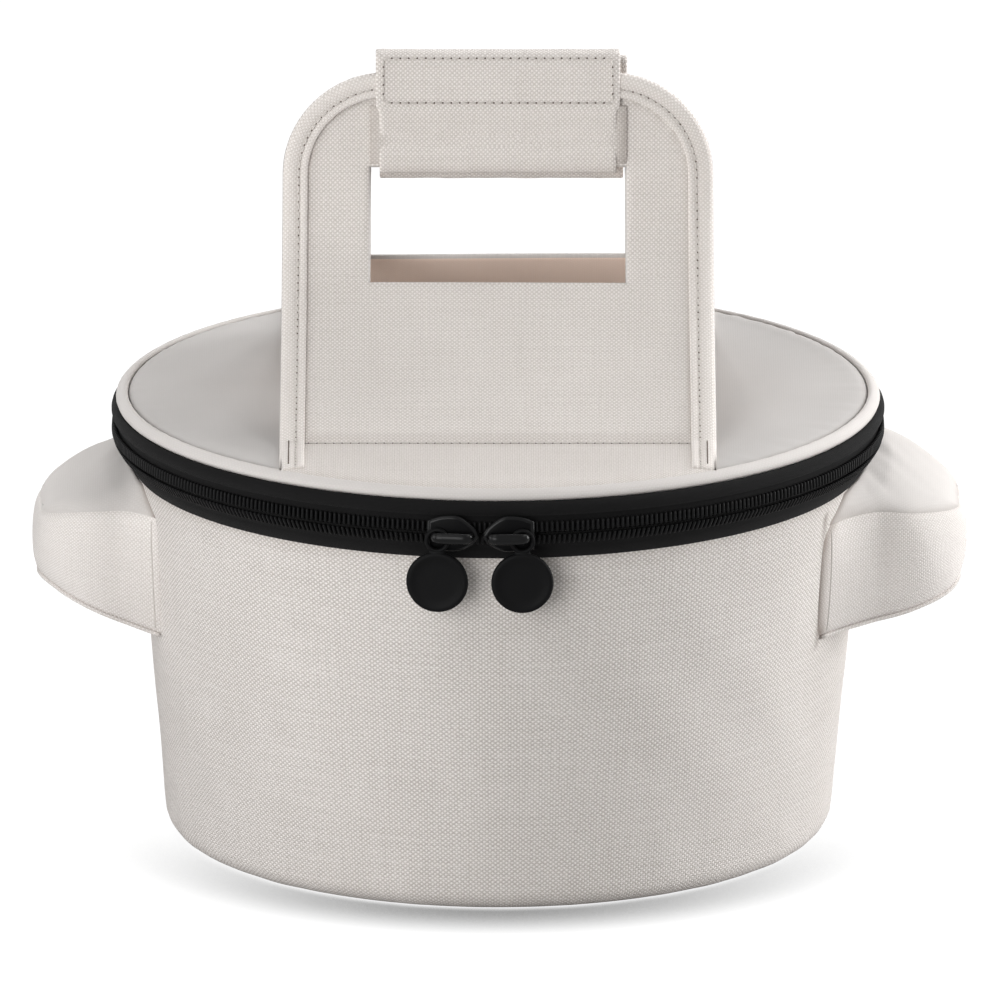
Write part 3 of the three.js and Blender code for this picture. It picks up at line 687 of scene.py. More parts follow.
def make_piece(name: str, skin: Skin, finish: Sequence[Finish], body: str | None,
               replaces: Sequence[str] = (), painted_seam_shading: Shade | None = None) -> bpy.types.Object:
    """Makes one object from a skin.

    Args:
        name: The piece's name.
        skin: Its faces.
        finish: Finishes in the order of the skin's finish numbers.
        body: The body that it rides on, or none for a piece that is set on no body.
        replaces: CAD nodes that it stands for.
        painted_seam_shading: Gives, for points, how much painted shade each gets, most in seams.

    Returns:
        The new object.
    """
    mesh = bpy.data.meshes.new(name)
    mesh.from_pydata(skin.points.tolist(), [], skin.faces.tolist())
    for each in finish:
        mesh.materials.append(each.material)
    layer = mesh.uv_layers.new(name=CLOTH_MAP)
    layer.data.foreach_set("uv", skin.cloth.astype(np.float32).ravel())
    mesh.polygons.foreach_set("material_index", skin.finish.astype(np.int32))
    mesh.polygons.foreach_set("use_smooth", np.ones(len(skin.faces), bool))
    # Painted shade is stored on the points, for the finishes to darken by.
    if painted_seam_shading is not None:
        depth = mesh.attributes.new(PAINTED_SEAM_SHADING_ATTRIBUTE, "FLOAT", "POINT")
        depth.data.foreach_set("value", np.clip(painted_seam_shading(skin.points), 0.0, 1.0).astype(np.float32))
    mesh.update()
    obj = bpy.data.objects.new(name, mesh)
    bpy.context.scene.collection.objects.link(obj)
    if replaces:
        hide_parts(*replaces)
    if body:
        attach(obj, body)
    LOG.info("%s: %d faces", name, len(skin.faces))
    return obj


def keep_node(node: str, finish: Finish) -> None:
    """Gives a CAD node that stays its finish."""
    obj = frame["nodes"][node]
    obj.data.materials.clear()
    obj.data.materials.append(finish.material)
    LOG.info("%s: kept from the frame", node)


def round_layer(name: str, node: str, finish: Finish, edge: float, body: str) -> None:
    """A soft-edged disc of foam or cloth in a node's place.

    Args:
        name: The piece's name.
        node: CAD node that it stands for.
        finish: Its finish.
        edge: Radius of its rounded rim.
        body: The body that it rides on.
    """
    low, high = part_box(node)
    radius = high.x
    skin = soft_disc(radius, low.z, high.z, edge)
    # Painted shade, darker towards the rim of the disc.
    piece = make_piece(name, skin, [finish], body, [node],
                       lambda p: fade(radius - np.hypot(p[:, 0], p[:, 1]), 3.0 * MM))


def fade(distance: Array, reach: float) -> Array:
    """Falls smoothly from 1 at no distance towards 0 past the reach."""
    return np.exp(-np.abs(distance) / reach)


def waves(place: Array, lengths: Sequence[float], seed: float) -> Array:
    """A smooth, fixed mixture of waves between about -1 and 1."""
    result = np.zeros_like(place)
    for i, length in enumerate(lengths):
        result = result + np.sin(math.tau * place / length + seed * (i + 1.7)) / len(lengths)
    return result


# Tub

@dataclass(frozen=True)
class EarForm:
    """Sizes of the ears that the frame's boxes do not give: heights at wall and end, and the seams."""

    top: tuple[float, float] = (153.5 * MM, 146.5 * MM)
    base: tuple[float, float] = (93.5 * MM, 116.0 * MM)
    corner: float = 34.0 * MM
    seam: float = 5.8 * MM


@dataclass(frozen=True)
class EarShape:
    """How a soft ear hangs, unlike the plain one.

    Its top and base are given as the height at the wall, a straight rise and a curved rise towards the
    end, its back edge by a rise and how that fades, and its end by a fall and by how much shorter it is.
    Flare is how far its front side spreads at the wall, at its base and at its top, and shade how much
    painted shade its seam at the wall gets.
    """

    top: tuple[float, float, float]
    base: tuple[float, float, float]
    tilt: float
    curl: float
    droop: float
    shorter: float
    flare: tuple[float, float]
    shade: float

    def spread(self, height: Array) -> Array:
        """How far the front side spreads at the wall, at a share of the ear's height."""
        return self.flare[0] + (self.flare[1] - self.flare[0]) * height


EAR_SHAPES = {
    Hand.LEFT: EarShape((151.2 * MM, 0.0, -5.6 * MM), (93.0 * MM, 21.3 * MM, 0.0), 12.5 * MM, 1.0,
                        2.0 * MM, 1.5 * MM, (-1.0 * MM, 8.0 * MM), 0.05),
    Hand.RIGHT: EarShape((153.5 * MM, -7.0 * MM, 0.0), (97.9 * MM, 5.5 * MM, 8.0 * MM), 19.0 * MM, 1.3,
                         1.0 * MM, 0.0, (18.0 * MM, 24.0 * MM), 0.95),
}


@dataclass
class Tub:
    """The round body: canvas, padding, lining, base and the binding inside the rim."""

    ear: EarForm = EarForm()
    foot_radius: float = 142.5 * MM
    bottom_curve: float = 9.0 * MM
    canvas: float = 1.0 * MM
    lining: float = 0.8 * MM
    gap: float = 0.3 * MM
    ripple: float = 0.7 * MM
    columns: int = 288
    rim_radius: float = field(init=False)
    top: float = field(init=False)
    mouth: tuple[float, float] = field(init=False)
    mouth_half: float = field(init=False)

    def __post_init__(self) -> None:
        """Reads the rim and the ear openings from the frame."""
        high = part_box("body_wall")[1]
        self.rim_radius, self.top = high.x, high.z
        self.mouth = (self.ear.base[0] + self.ear.seam, self.ear.top[0] - self.ear.seam)
        self.mouth_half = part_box("right_ear_band")[1].y - self.ear.seam

    def radius(self, z: Array) -> Array:
        """Outer radius of the wall at a height."""
        share = (z - self.bottom_curve) / (self.top - self.bottom_curve)
        return self.foot_radius + (self.rim_radius - self.foot_radius) * share

    @property
    def mouth_angle(self) -> float:
        """Half the angle of rim that an ear opening takes."""
        return math.asin(self.mouth_half / self.radius(np.array(self.mouth)).mean())

    def heights(self, low: float, high: float, rows: int) -> Array:
        """Row heights that include the edges of the ear openings."""
        return merged(np.linspace(low, high, rows), [h for h in self.mouth if low < h < high])

    def mouth_cells(self, angles: Array, heights: Array, wrap: bool) -> Array:
        """Cells of a wall grid that are not cut away by the ear openings."""
        turn = np.append(angles, angles[0] + math.tau) if wrap else angles
        middle = (turn[:-1] + turn[1:]) / 2
        level = (heights[:-1] + heights[1:]) / 2
        off = np.abs((middle + math.pi / 2) % math.pi - math.pi / 2)
        inside = (level[:, None] > self.mouth[0]) & (level[:, None] < self.mouth[1])
        return ~(inside & (off[None, :] < self.mouth_angle))

    def mouth_edges(self) -> list[float]:
        """Angles of the openings' upright edges."""
        half = self.mouth_angle
        return [middle + side * half for middle in (0.0, math.pi) for side in (-1, 1)]

    def layer(self, depth: float, low: float, high: float, rows: int, angles: Array,
              wrap: bool) -> tuple[Surface, Array]:
        """A layer of the wall at a depth below its face.

        Args:
            depth: Distance in from the canvas face.
            low: Height of the layer's lower edge.
            high: Height of its upper edge.
            rows: Number of rows between them.
            angles: Column angles.
            wrap: Whether it goes all round.

        Returns:
            The surface, and the cells outside the ear openings.
        """
        heights = self.heights(low, high, rows)
        profile = together(self.radius(heights) - depth, heights)
        return revolve(profile, angles, wrap), self.mouth_cells(angles, heights, wrap)

    def build(self) -> None:
        """Makes every piece of the tub and sets it on its body."""
        self.build_canvas()
        self.build_padding()
        self.build_base()

    def build_canvas(self) -> None:
        """The outer canvas, softly uneven, with a rounded bottom edge and gathers under the zip."""
        centre = (self.foot_radius - self.bottom_curve, self.bottom_curve)
        bend = arc(centre, self.bottom_curve, -90.0, 0.0, 7)
        heights = self.heights(self.bottom_curve, self.top, 46)
        profile = chain(bend[:-1], together(self.radius(heights), heights))
        angles = ring_angles(self.columns, self.mouth_edges())
        surface = revolve(profile, angles, True)
        z = profile[:, 1:]
        around = angles[None, :]
        belly = np.sin(math.pi * np.clip(z / self.top, 0.0, 1.0))
        slow, quick = waves(around, (2.1, 1.26, 0.698), 0.6), waves(around + 6.0 * z, (0.524, 0.349), 2.0)
        soft = belly * (slow + 0.5 * quick)
        low_folds = 0.7 * fade(z - 14.0 * MM, 12.0 * MM) * waves(around, (0.449, 0.2513, 0.1611), 1.1)
        gathers = 0.35 * fade(self.top - z, 7.0 * MM) * waves(around, (0.0628, 0.0449), 0.4)
        lift = self.ripple * (soft + low_folds + gathers) * (z > 0.5 * MM)
        skin = surface.raised(lift).shell(self.canvas, self.mouth_cells(angles, profile[:, 1], True))
        canvas = make_piece("tub_canvas", skin, [Finish.CANVAS], "tub", ["body_wall"],
                            self.painted_tub_shade)

    def painted_tub_shade(self, points: Array) -> Array:
        """Painted shade under the zip, along the ears' seams and near the floor."""
        z = points[:, 2]
        depth = np.maximum(0.3 * fade(self.top - z, 2.2 * MM), 0.3 * fade(z, 4.0 * MM))
        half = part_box("right_ear_band")[1].y
        near = (z > self.ear.base[0]) & (z < self.ear.top[0])
        height = (z - self.ear.base[0]) / (self.ear.top[0] - self.ear.base[0])
        for hand, shape in EAR_SHAPES.items():
            beside = fade(points[:, 1] + half + shape.spread(height) - 1.2 * MM, 0.8 * MM)
            depth = np.maximum(depth, shape.shade * beside * near * (hand.sign * points[:, 0] > 0.0))
        return depth

    def build_padding(self) -> None:
        """Four foam panels, the lining and the binding that covers its top edge."""
        low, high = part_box("wall_foam_front")
        foam = 5.0 * MM
        depth = self.canvas + self.gap
        split = math.asin(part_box("right_ear_band")[1].y / self.foot_radius)
        seam = 0.15 * MM / self.foot_radius
        spans = {"right": (-split, split), "rear": (split, math.pi - split),
                 "left": (math.pi - split, math.pi + split), "front": (math.pi + split, math.tau - split)}
        for name, (start, end) in spans.items():
            plain = np.linspace(start + seam, end - seam, 25 if name in ("left", "right") else 73)
            edges = [e % math.tau if name == "left" else e for e in self.mouth_edges()]
            angles = merged(plain, [e for e in edges if start < e < end])
            surface, keep = self.layer(depth, low.z, high.z, 20, angles, False)
            pad = make_piece(f"wall_pad_{name}", surface.shell(foam, keep), [Finish.FOAM], "tub",
                             [f"wall_foam_{name}"])
        angles = ring_angles(self.columns // 2, self.mouth_edges())
        inner = depth + foam + self.gap
        surface, keep = self.layer(inner, low.z, high.z, 24, angles, True)
        z = surface.points[..., 2]
        dents = -0.25 * MM * (1.0 + waves(angles + 5.0 * z, (0.393, 0.2094, 0.1257), 0.8)) / 2
        # Painted shade, darker towards the lining's lower edge.
        lining = make_piece("tub_lining", surface.raised(dents).shell(self.lining, keep), [Finish.LINING],
                            "tub", ["wall_lining"], lambda p, z=low.z: fade(p[:, 2] - z, 4.0 * MM))
        low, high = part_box("rim_binding")
        surface, _ = self.layer(inner + self.lining + self.gap, low.z, high.z, 7,
                                ring_angles(self.columns), True)
        hem = np.array([0.1, 0.35, 0.0, 0.1, 0.3, 0.25, 0.0]) * MM
        skin = surface.raised(-hem[:, None]).shell(0.8 * MM)
        make_piece("rim_tape", skin, [Finish.BINDING], "tub", ["rim_binding"])
        self.build_mouths()

    def build_mouths(self) -> None:
        """A narrow binding round each opening into an ear, over the cut edges of the wall."""
        for hand in Hand:
            middle = 0.0 if hand is Hand.RIGHT else math.pi
            half = self.mouth_angle * self.foot_radius - 0.3 * MM
            low, high = self.mouth[0] + 0.3 * MM, self.mouth[1] - 0.3 * MM
            corner = 3.0 * MM
            x, step = half - corner, 2.5 * MM
            corners = ((x, low + corner), (x, high - corner), (-x, high - corner), (-x, low + corner))
            rim = chain(*(arc(at, corner, 90.0 * i - 90.0, 90.0 * i, 4) for i, at in enumerate(corners)))
            rim = even_line(chain(rim, rim[:1]), step)[:-1]
            turn = middle + rim[:, 0] / self.foot_radius
            depths = np.array([[7.9], [6.0], [3.0], [0.4]]) * MM
            r = self.radius(rim[:, 1]) - depths
            cloth = together(np.arange(len(rim) + 1) * step, depths)
            points = together(r * np.cos(turn), r * np.sin(turn), rim[:, 1])
            skin = Surface(points, cloth, True).shell(0.6 * MM)
            make_piece(f"{hand.value}_ear_mouth", skin.outward(), [Finish.BINDING], "tub")

    def build_base(self) -> None:
        """Base cloth, padding and lining as soft-edged discs around the stiff board."""
        rows = (("base_cloth", "base_panel", Finish.CANVAS, 0.45 * MM),
                ("base_pad", "base_foam", Finish.FOAM, 2.0 * MM),
                ("base_lining_cloth", "base_lining", Finish.LINING, 0.35 * MM))
        for name, node, finish, edge in rows:
            round_layer(name, node, finish, edge, "tub")
        keep_node("base_board", Finish.BOARD)


def soft_disc(radius: float, low: float, high: float, edge: float, columns: int = 160) -> Skin:
    """A round sheet or pad with a rounded rim.

    Args:
        radius: Outer radius.
        low: Height of the underside.
        high: Height of the top.
        edge: Radius of the rounded rim, under half the thickness.
        columns: Points round it.

    Returns:
        The closed skin.
    """
    rings = radius * np.linspace(0.02, 0.96, 12)
    profile = chain(together(rings, low), arc((radius - edge, low + edge), edge, -90.0, 0.0, 4),
                    arc((radius - edge, high - edge), edge, 0.0, 90.0, 4), together(rings[::-1], high))
    return lathe(profile, columns)


# Ears

@dataclass
class Ear:
    """A pocket for one of the pot's side handles: top, U-shaped band and base, sewn to the wall."""

    tub: Tub
    hand: Hand
    shell: float = 1.6 * MM
    puff: float = 2.6 * MM
    crown: float = 2.4 * MM
    fold: float = 2.5 * MM
    piping: float = 0.9 * MM
    side: int = 12
    bend: int = 14
    stitching: Stitching = Stitching(5.0 * MM, 2.0 * MM, 0.24 * MM, 0.16 * MM, 0.22 * MM)

    def __post_init__(self) -> None:
        """Reads the ear's reach and width from the frame."""
        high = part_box("right_ear_band")[1]
        self.shape, self.form = EAR_SHAPES[self.hand], self.tub.ear
        self.reach, self.half = high.x - self.shape.shorter, high.y

    @property
    def turn(self) -> float:
        """Angle that takes the right ear to this one."""
        return 0.0 if self.hand is Hand.RIGHT else math.pi

    def own(self, points: Array) -> Array:
        """Points of the scene in the right ear's place."""
        return points * (self.hand.sign, self.hand.sign, 1.0)

    def share(self, x: Array) -> Array:
        """Share of the way from the tub's foot to the ear's end."""
        return (x - self.tub.foot_radius) / (self.reach - self.tub.foot_radius)

    def out(self, x: Array) -> Array:
        """Share of the way from the tub's rim to the ear's end."""
        return np.clip((x - self.tub.rim_radius) / (self.reach - self.tub.rim_radius), 0.0, 1.0)

    def top(self, x: Array, y: Array) -> Array:
        """Height of the sagging top, which sits higher at the back."""
        start, rise, curve = self.shape.top
        back = 0.4 + 0.4 * self.hand.sign * y / self.half
        out, share = self.out(x), self.share(x)
        lift = self.shape.tilt * back * (1.0 - out ** self.shape.curl) - self.shape.droop * out ** 2
        return np.minimum(start + rise * share + curve * share ** 3 + lift, self.ceiling(x, y))

    def ceiling(self, x: Array, y: Array) -> Array:
        """Height that the ear keeps below the zip's lower tape."""
        rise = 1.6 * np.maximum(np.hypot(x, y) - self.tub.rim_radius, 0.0)
        return self.tub.top + np.minimum(rise - 0.7 * MM, 5.5 * MM)

    def base(self, x: Array, y: Array) -> Array:
        """Height of the sagging base."""
        start, rise, curve = self.shape.base
        return start + rise * self.share(x) + curve * self.share(x) ** 2 + 0.0 * y

    def wall(self, y: Array, z: Array) -> Array:
        """Distance of the tub's wall along X."""
        return np.sqrt(np.maximum((self.tub.radius(z) + 0.4 * MM) ** 2 - y ** 2, 0.0))

    def rim(self) -> Array:
        """The rounded end of the band seen from above, from front to back for the right ear."""
        start, inner = self.reach - self.form.corner, self.half - self.form.corner
        front = arc((start, -inner), self.form.corner, -90.0, 0.0, self.bend)
        rear = arc((start, inner), self.form.corner, 0.0, 90.0, self.bend)
        return chain(front, np.linspace(front[-1], rear[0], 8)[1:-1], rear)

    def build(self) -> None:
        """Makes the band with its piping and stitches, and the two panels between its edges."""
        grid = self.build_band()
        self.build_panel("top", self.top, grid[-1], 1.0)
        self.build_panel("base", self.base, grid[0], -1.0)

    def band_line(self, height: float) -> Array:
        """The band's line at a share of its height, from the wall round the end and back, as x, y and z."""
        curve = self.rim()
        flares = (self.shape.spread(height), 2.0 * MM)[:: 1 if self.hand is Hand.RIGHT else -1]
        run = np.linspace(0.0, 1.0, self.side + 1)[:-1]
        sides = []
        for sign, flare, end in zip((-1.0, 1.0), flares, (curve[0], curve[-1])):
            y, x = np.array(sign * (self.half + flare)), np.array(self.tub.foot_radius)
            for _ in range(4):
                low = self.base(x, y)
                x = self.wall(y, low + height * (self.top(x, y) - low)) - 0.9 * MM
            sides.append(together(x + run * (end[0] - x), end[1] + (y - end[1]) * (1.0 - run) ** 1.4))
        plan = chain(sides[0], curve, sides[1][::-1])
        low = self.base(plan[:, 0], plan[:, 1]) + 1.0 * MM
        high = self.top(plan[:, 0], plan[:, 1]) - 1.2 * MM
        return chain(plan, (low + height * (high - low))[:, None], axis=1)

    def build_band(self) -> Array:
        """The band, which swells between its seams.

        Returns:
            The band's grid of points in the right ear's place, from the lower seam up.
        """
        rows = 17
        height = np.linspace(0.0, 1.0, rows)
        grid = np.stack([self.band_line(h) for h in height])
        ahead = np.gradient(grid, axis=1)
        out = unit(together(ahead[..., 1], -ahead[..., 0], 0.0 * ahead[..., 0]))
        along = run_length(grid[rows // 2, :, :2])
        free = (1.0 - fade(np.minimum(along, along[-1] - along), 9.0 * MM))[None, :]
        up = height[:, None]
        swell = self.puff * (0.2 - np.abs(2.0 * up - 1.0) ** 2.4)
        tuck = 0.7 * MM * (fade(up - 1.0, 0.05) + fade(up, 0.05))
        pucker = 0.25 * MM * waves(along, (12.0 * MM, 7.5 * MM, 19.0 * MM), self.hand.sign + 0.3)[None, :]
        pucker = pucker * (fade(up - 1.0, 0.13) + 0.6 * fade(up, 0.13))
        dents = 0.5 * MM * waves(along[None, :] + 25.0 * MM * up, (61.0 * MM, 37.0 * MM), self.hand.sign)
        grid = grid + out * (free * (swell + dents + pucker) - tuck)[..., None]
        surface = Surface(grid, together(along, 45.0 * MM * up))
        seam = cord(grid[0, 1:-1] + out[0, 1:-1] * 0.5 * MM, self.piping)
        skin = Skin.joined([surface.shell(self.shell, inside=1), seam]).turned(self.turn)
        name = self.hand.value
        band = make_piece(f"{name}_ear_band_cloth", skin, [Finish.EAR, Finish.LINING], "tub",
                          [f"{name}_ear_band"], self.band_shade)
        off = surface.normals()
        seams = Skin.joined([self.stitching.along(grid[1:-1, c], off[1:-1, c]) for c in (2, -3)])
        make_piece(f"{name}_ear_stitches", seams.turned(self.turn), STITCHED, "tub")
        return grid

    def band_shade(self, points: Array) -> Array:
        """Painted shade at the band's seams with the top, the base and the wall."""
        x, y, z = self.own(points).T
        top = (0.1 + 0.4 * self.shape.shade) * fade(self.top(x, y) - z - 0.6 * MM, 0.9 * MM)
        base = 0.35 * fade(z - self.base(x, y) - 2.1 * MM, 0.5 * MM)
        wall = self.shape.shade * fade(np.maximum(x - self.wall(y, z), 0.0), 0.6 * MM)
        return np.maximum(np.maximum(top, base), wall)

    def build_panel(self, kind: str, plain: Callable[[Array, Array], Array], edge: Array, up: float) -> None:
        """The top or the base panel, crowned between the band's edges and folded where it meets the wall.

        Args:
            kind: Name of the panel, top or base.
            plain: Gives its height before it swells.
            edge: The band's edge that it is sewn to.
            up: 1 for a panel that faces up, -1 for one that faces down.
        """
        rows = self.side + self.bend + 1
        near, far = edge[:rows, :2], edge[::-1][:rows, :2]
        share = np.sin(np.linspace(-math.pi / 2, math.pi / 2, 35))
        plan = (near + far)[:, None] / 2 + share[None, :, None] * (far - near)[:, None] / 2
        x, y = plan[..., 0], plan[..., 1]
        end = edge[rows - 1: len(edge) - rows + 1]
        x[-1] = np.interp(y[-1], end[:, 1], end[:, 0])
        x[:-1] = np.minimum(x[:-1], x[-1:] - 0.06 * MM * np.arange(rows - 1, 0, -1)[:, None])
        run = (x - x[:1]) / (x[-1:] - x[:1])
        x = x + (self.wall(y[0], plain(x[0], y[0])) - 1.2 * MM - x[0]) * (1.0 - run) ** 2
        rim = np.minimum((1.0 - np.abs(share)) * (far - near)[:, 1:] / 2, x[-1:] - x)
        away = np.maximum(x - self.wall(y, plain(x, y)), 0.0)
        hump = self.crown * (1.0 - fade(rim, 8.0 * MM)) * np.clip(away / (12.0 * MM), 0.0, 1.0)
        spread = self.half + max(self.shape.flare[1], 0.0)
        back = np.clip((self.hand.sign * y + spread) / (0.42 * spread), 0.0, 1.0)
        lack = np.maximum(self.tub.top + self.fold - plain(x, y), 0.0)
        fold = lack * (up > 0) * back * back * (3.0 - 2.0 * back) * fade(away, 7.0 * MM)
        inner = 1.0 - fade(rim, 4.0 * MM)
        slant = x + 0.7 * self.hand.sign * y
        crumple = 0.8 * MM * waves(slant, (23.0 * MM, 13.0 * MM), 1.4) * fade(away, 16.0 * MM)
        sewn = edge[:, 2] - plain(edge[:, 0], edge[:, 1])
        sides = (sewn[:rows, None] * (1.0 - share) + sewn[::-1][:rows, None] * (1.0 + share)) / 2
        closing = fade(x[-1:] - x, 6.0 * MM)
        sides = sides + (np.interp(y, end[:, 1], sewn[rows - 1: len(edge) - rows + 1]) - sides) * closing
        free = plain(x, y) + up * (hump + (fold + crumple) * inner) + sides * fade(rim, 2.5 * MM)
        z = np.minimum(free, self.ceiling(x, y) + 0.3 * MM)
        points = together(x, y, z).transpose(1, 0, 2)
        cloth = together(x, y).transpose(1, 0, 2)
        order = slice(None) if up > 0 else slice(None, None, -1)
        skin = Surface(points[order], cloth[order]).shell(self.shell, inside=1).turned(self.turn)
        line = even_line(edge, 0.7 * MM)[:, :2]

        def shade(points: Array) -> Array:
            """Painted shade along the panel's seams and at the wall."""
            own = self.own(points)
            seam = np.linalg.norm(own[:, None, :2] - line[None], axis=2).min(axis=1)
            wall = np.maximum(own[:, 0] - self.wall(own[:, 1], own[:, 2]), 0.0)
            along = 0.1 + 0.35 * self.shape.shade
            return np.maximum(along * fade(seam, 1.0 * MM), 0.9 * fade(wall, 0.9 * MM))

        name = f"{self.hand.value}_ear_{kind}"
        panel = make_piece(f"{name}_cloth", skin, [Finish.SMOOTH, Finish.LINING], "tub", [name],
                           shade)


# Zip

@dataclass
class Zip:
    """Two tapes with their rows of coil teeth, the stops at the back and the cloth hinge between them."""

    tape: float = 1.0 * MM
    hinge_half: float = math.radians(18.0)
    stop: float = math.radians(3.2)
    pitch: float = 2.2 * MM
    tooth: float = 1.45 * MM
    bulge: float = 2.6 * MM
    lean: float = 0.58
    columns: int = 300

    def __post_init__(self) -> None:
        """Reads the zip's radii and heights from the frame."""
        lower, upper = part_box("lower_zip_teeth"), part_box("upper_zip_teeth")
        self.outer = lower[1].x
        self.depth = 2.4 * MM
        self.rows = {"lower": (lower[0].z, lower[1].z), "upper": (upper[0].z, upper[1].z)}
        self.middle = (lower[1].z + upper[0].z) / 2
        self.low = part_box("lower_zip_tape")[0].z
        self.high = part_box("upper_zip_tape")[1].z
        self.face = self.outer - self.depth - 0.3 * MM
        self.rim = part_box("body_wall")[1].x
        self.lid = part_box("lid_band")[1].x
        self.upright = 7.3 * MM

    def span(self, margin: float, columns: int) -> Array:
        """Angles from one end of the zip round the front to the other."""
        back = math.pi / 2
        return np.linspace(back + self.hinge_half + margin, back + math.tau - self.hinge_half - margin,
                           columns)

    def slope(self, radius: float, edge: float, direction: float) -> Array:
        """Profile of a tape from its sewn edge to the teeth, with a soft bend."""
        bend = self.middle + direction * self.upright
        lean = np.linspace(0.0, 1.0, 8)[:-1]
        r = radius + (self.face - self.tuck(bend) - radius) * np.sin(lean * math.pi / 2) ** 0.9
        r = r + max(direction, 0.0) * self.bulge * np.sin(lean * math.pi) ** 0.5
        z = edge + (bend - edge) * lean
        straight = np.linspace(bend, self.middle + direction * 0.7 * MM, 6)
        return chain(together(r, z), together(self.face - self.tuck(straight), straight))

    def tuck(self, z: Array) -> Array:
        """How far the zip's lower half leans in below its middle."""
        return self.lean * np.maximum(self.middle - z, 0.0)

    def build(self) -> None:
        """Makes tapes, teeth, stops and hinge."""
        angles = self.span(0.0, self.columns)
        lower = revolve(self.slope(self.rim, self.low, -1.0), angles, False)
        upper = revolve(self.slope(self.lid, self.high, 1.0)[::-1], angles, False)
        for name, surface, body in (("lower", lower, "tub"), ("upper", upper, "lid")):
            make_piece(f"{name}_zip_cloth", surface.shell(self.tape), [Finish.TAPE], body,
                       [f"{name}_zip_tape"])
            make_piece(f"{name}_zip_coil", self.coil(name), [Finish.TEETH], body,
                       [f"{name}_zip_teeth"])
        for hand in Hand:
            keep_node(f"{hand.value}_zip_stop", Finish.SLIDER)
        self.build_hinge()

    def coil(self, row: str) -> Skin:
        """One row of teeth, each a rounded loop of the coil with its head at the middle of the zip."""
        low, high = self.rows[row]
        total = math.tau - 2 * (self.hinge_half + self.stop)
        count = int(total * self.outer / self.pitch)
        shift = 0.5 if row == "upper" else 0.0
        angles = math.pi / 2 + self.hinge_half + self.stop + (np.arange(count) + shift) * total / count
        turn = math.tau * (np.arange(8) + 0.5) / 8
        deep, wide = (np.sign(c) * np.abs(c) ** 0.7 for c in (np.cos(turn), np.sin(turn)))
        level = np.array([0.0, 0.08, 0.30, 0.72, 0.92, 1.0])[:, None]
        size = np.array([0.55, 0.92, 0.95, 0.86, 0.80, 0.45])[:, None]
        head = level if row == "upper" else 1.0 - level
        half = self.depth / 2
        z = low + head * (high - low)
        r = size * (deep * half) + self.outer - half - self.tuck(z)
        tooth = plain_tube(together(r, size * (wide * self.tooth / 2), z))
        tooth.cloth = tooth.points[tooth.faces][..., 1:] * 1.0
        return Skin.joined([tooth.turned(a) for a in angles])

    def build_hinge(self) -> None:
        """The canvas strip at the back that the lid swings on."""
        seam = 0.3 * MM / self.rim
        back = math.pi / 2
        angles = np.linspace(back - self.hinge_half + seam, back + self.hinge_half - seam, 40)
        lower = self.slope(self.rim, self.low, -1.0)
        upper = self.slope(self.lid, self.high, 1.0)[::-1]
        surface = revolve(chain(lower, upper), angles, False)
        z = surface.points[..., 2]
        crumple = 0.25 * MM * waves(angles, (0.21, 0.13), 0.5)[None, :] * fade(z - self.middle, 8.0 * MM)
        skin = surface.raised(crumple).shell(1.0 * MM, inside=1)
        hinge = make_piece("hinge_cloth", skin, [Finish.CANVAS, Finish.LINING], None,
                           ["hinge_panel"])
        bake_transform(hinge)


# Lid

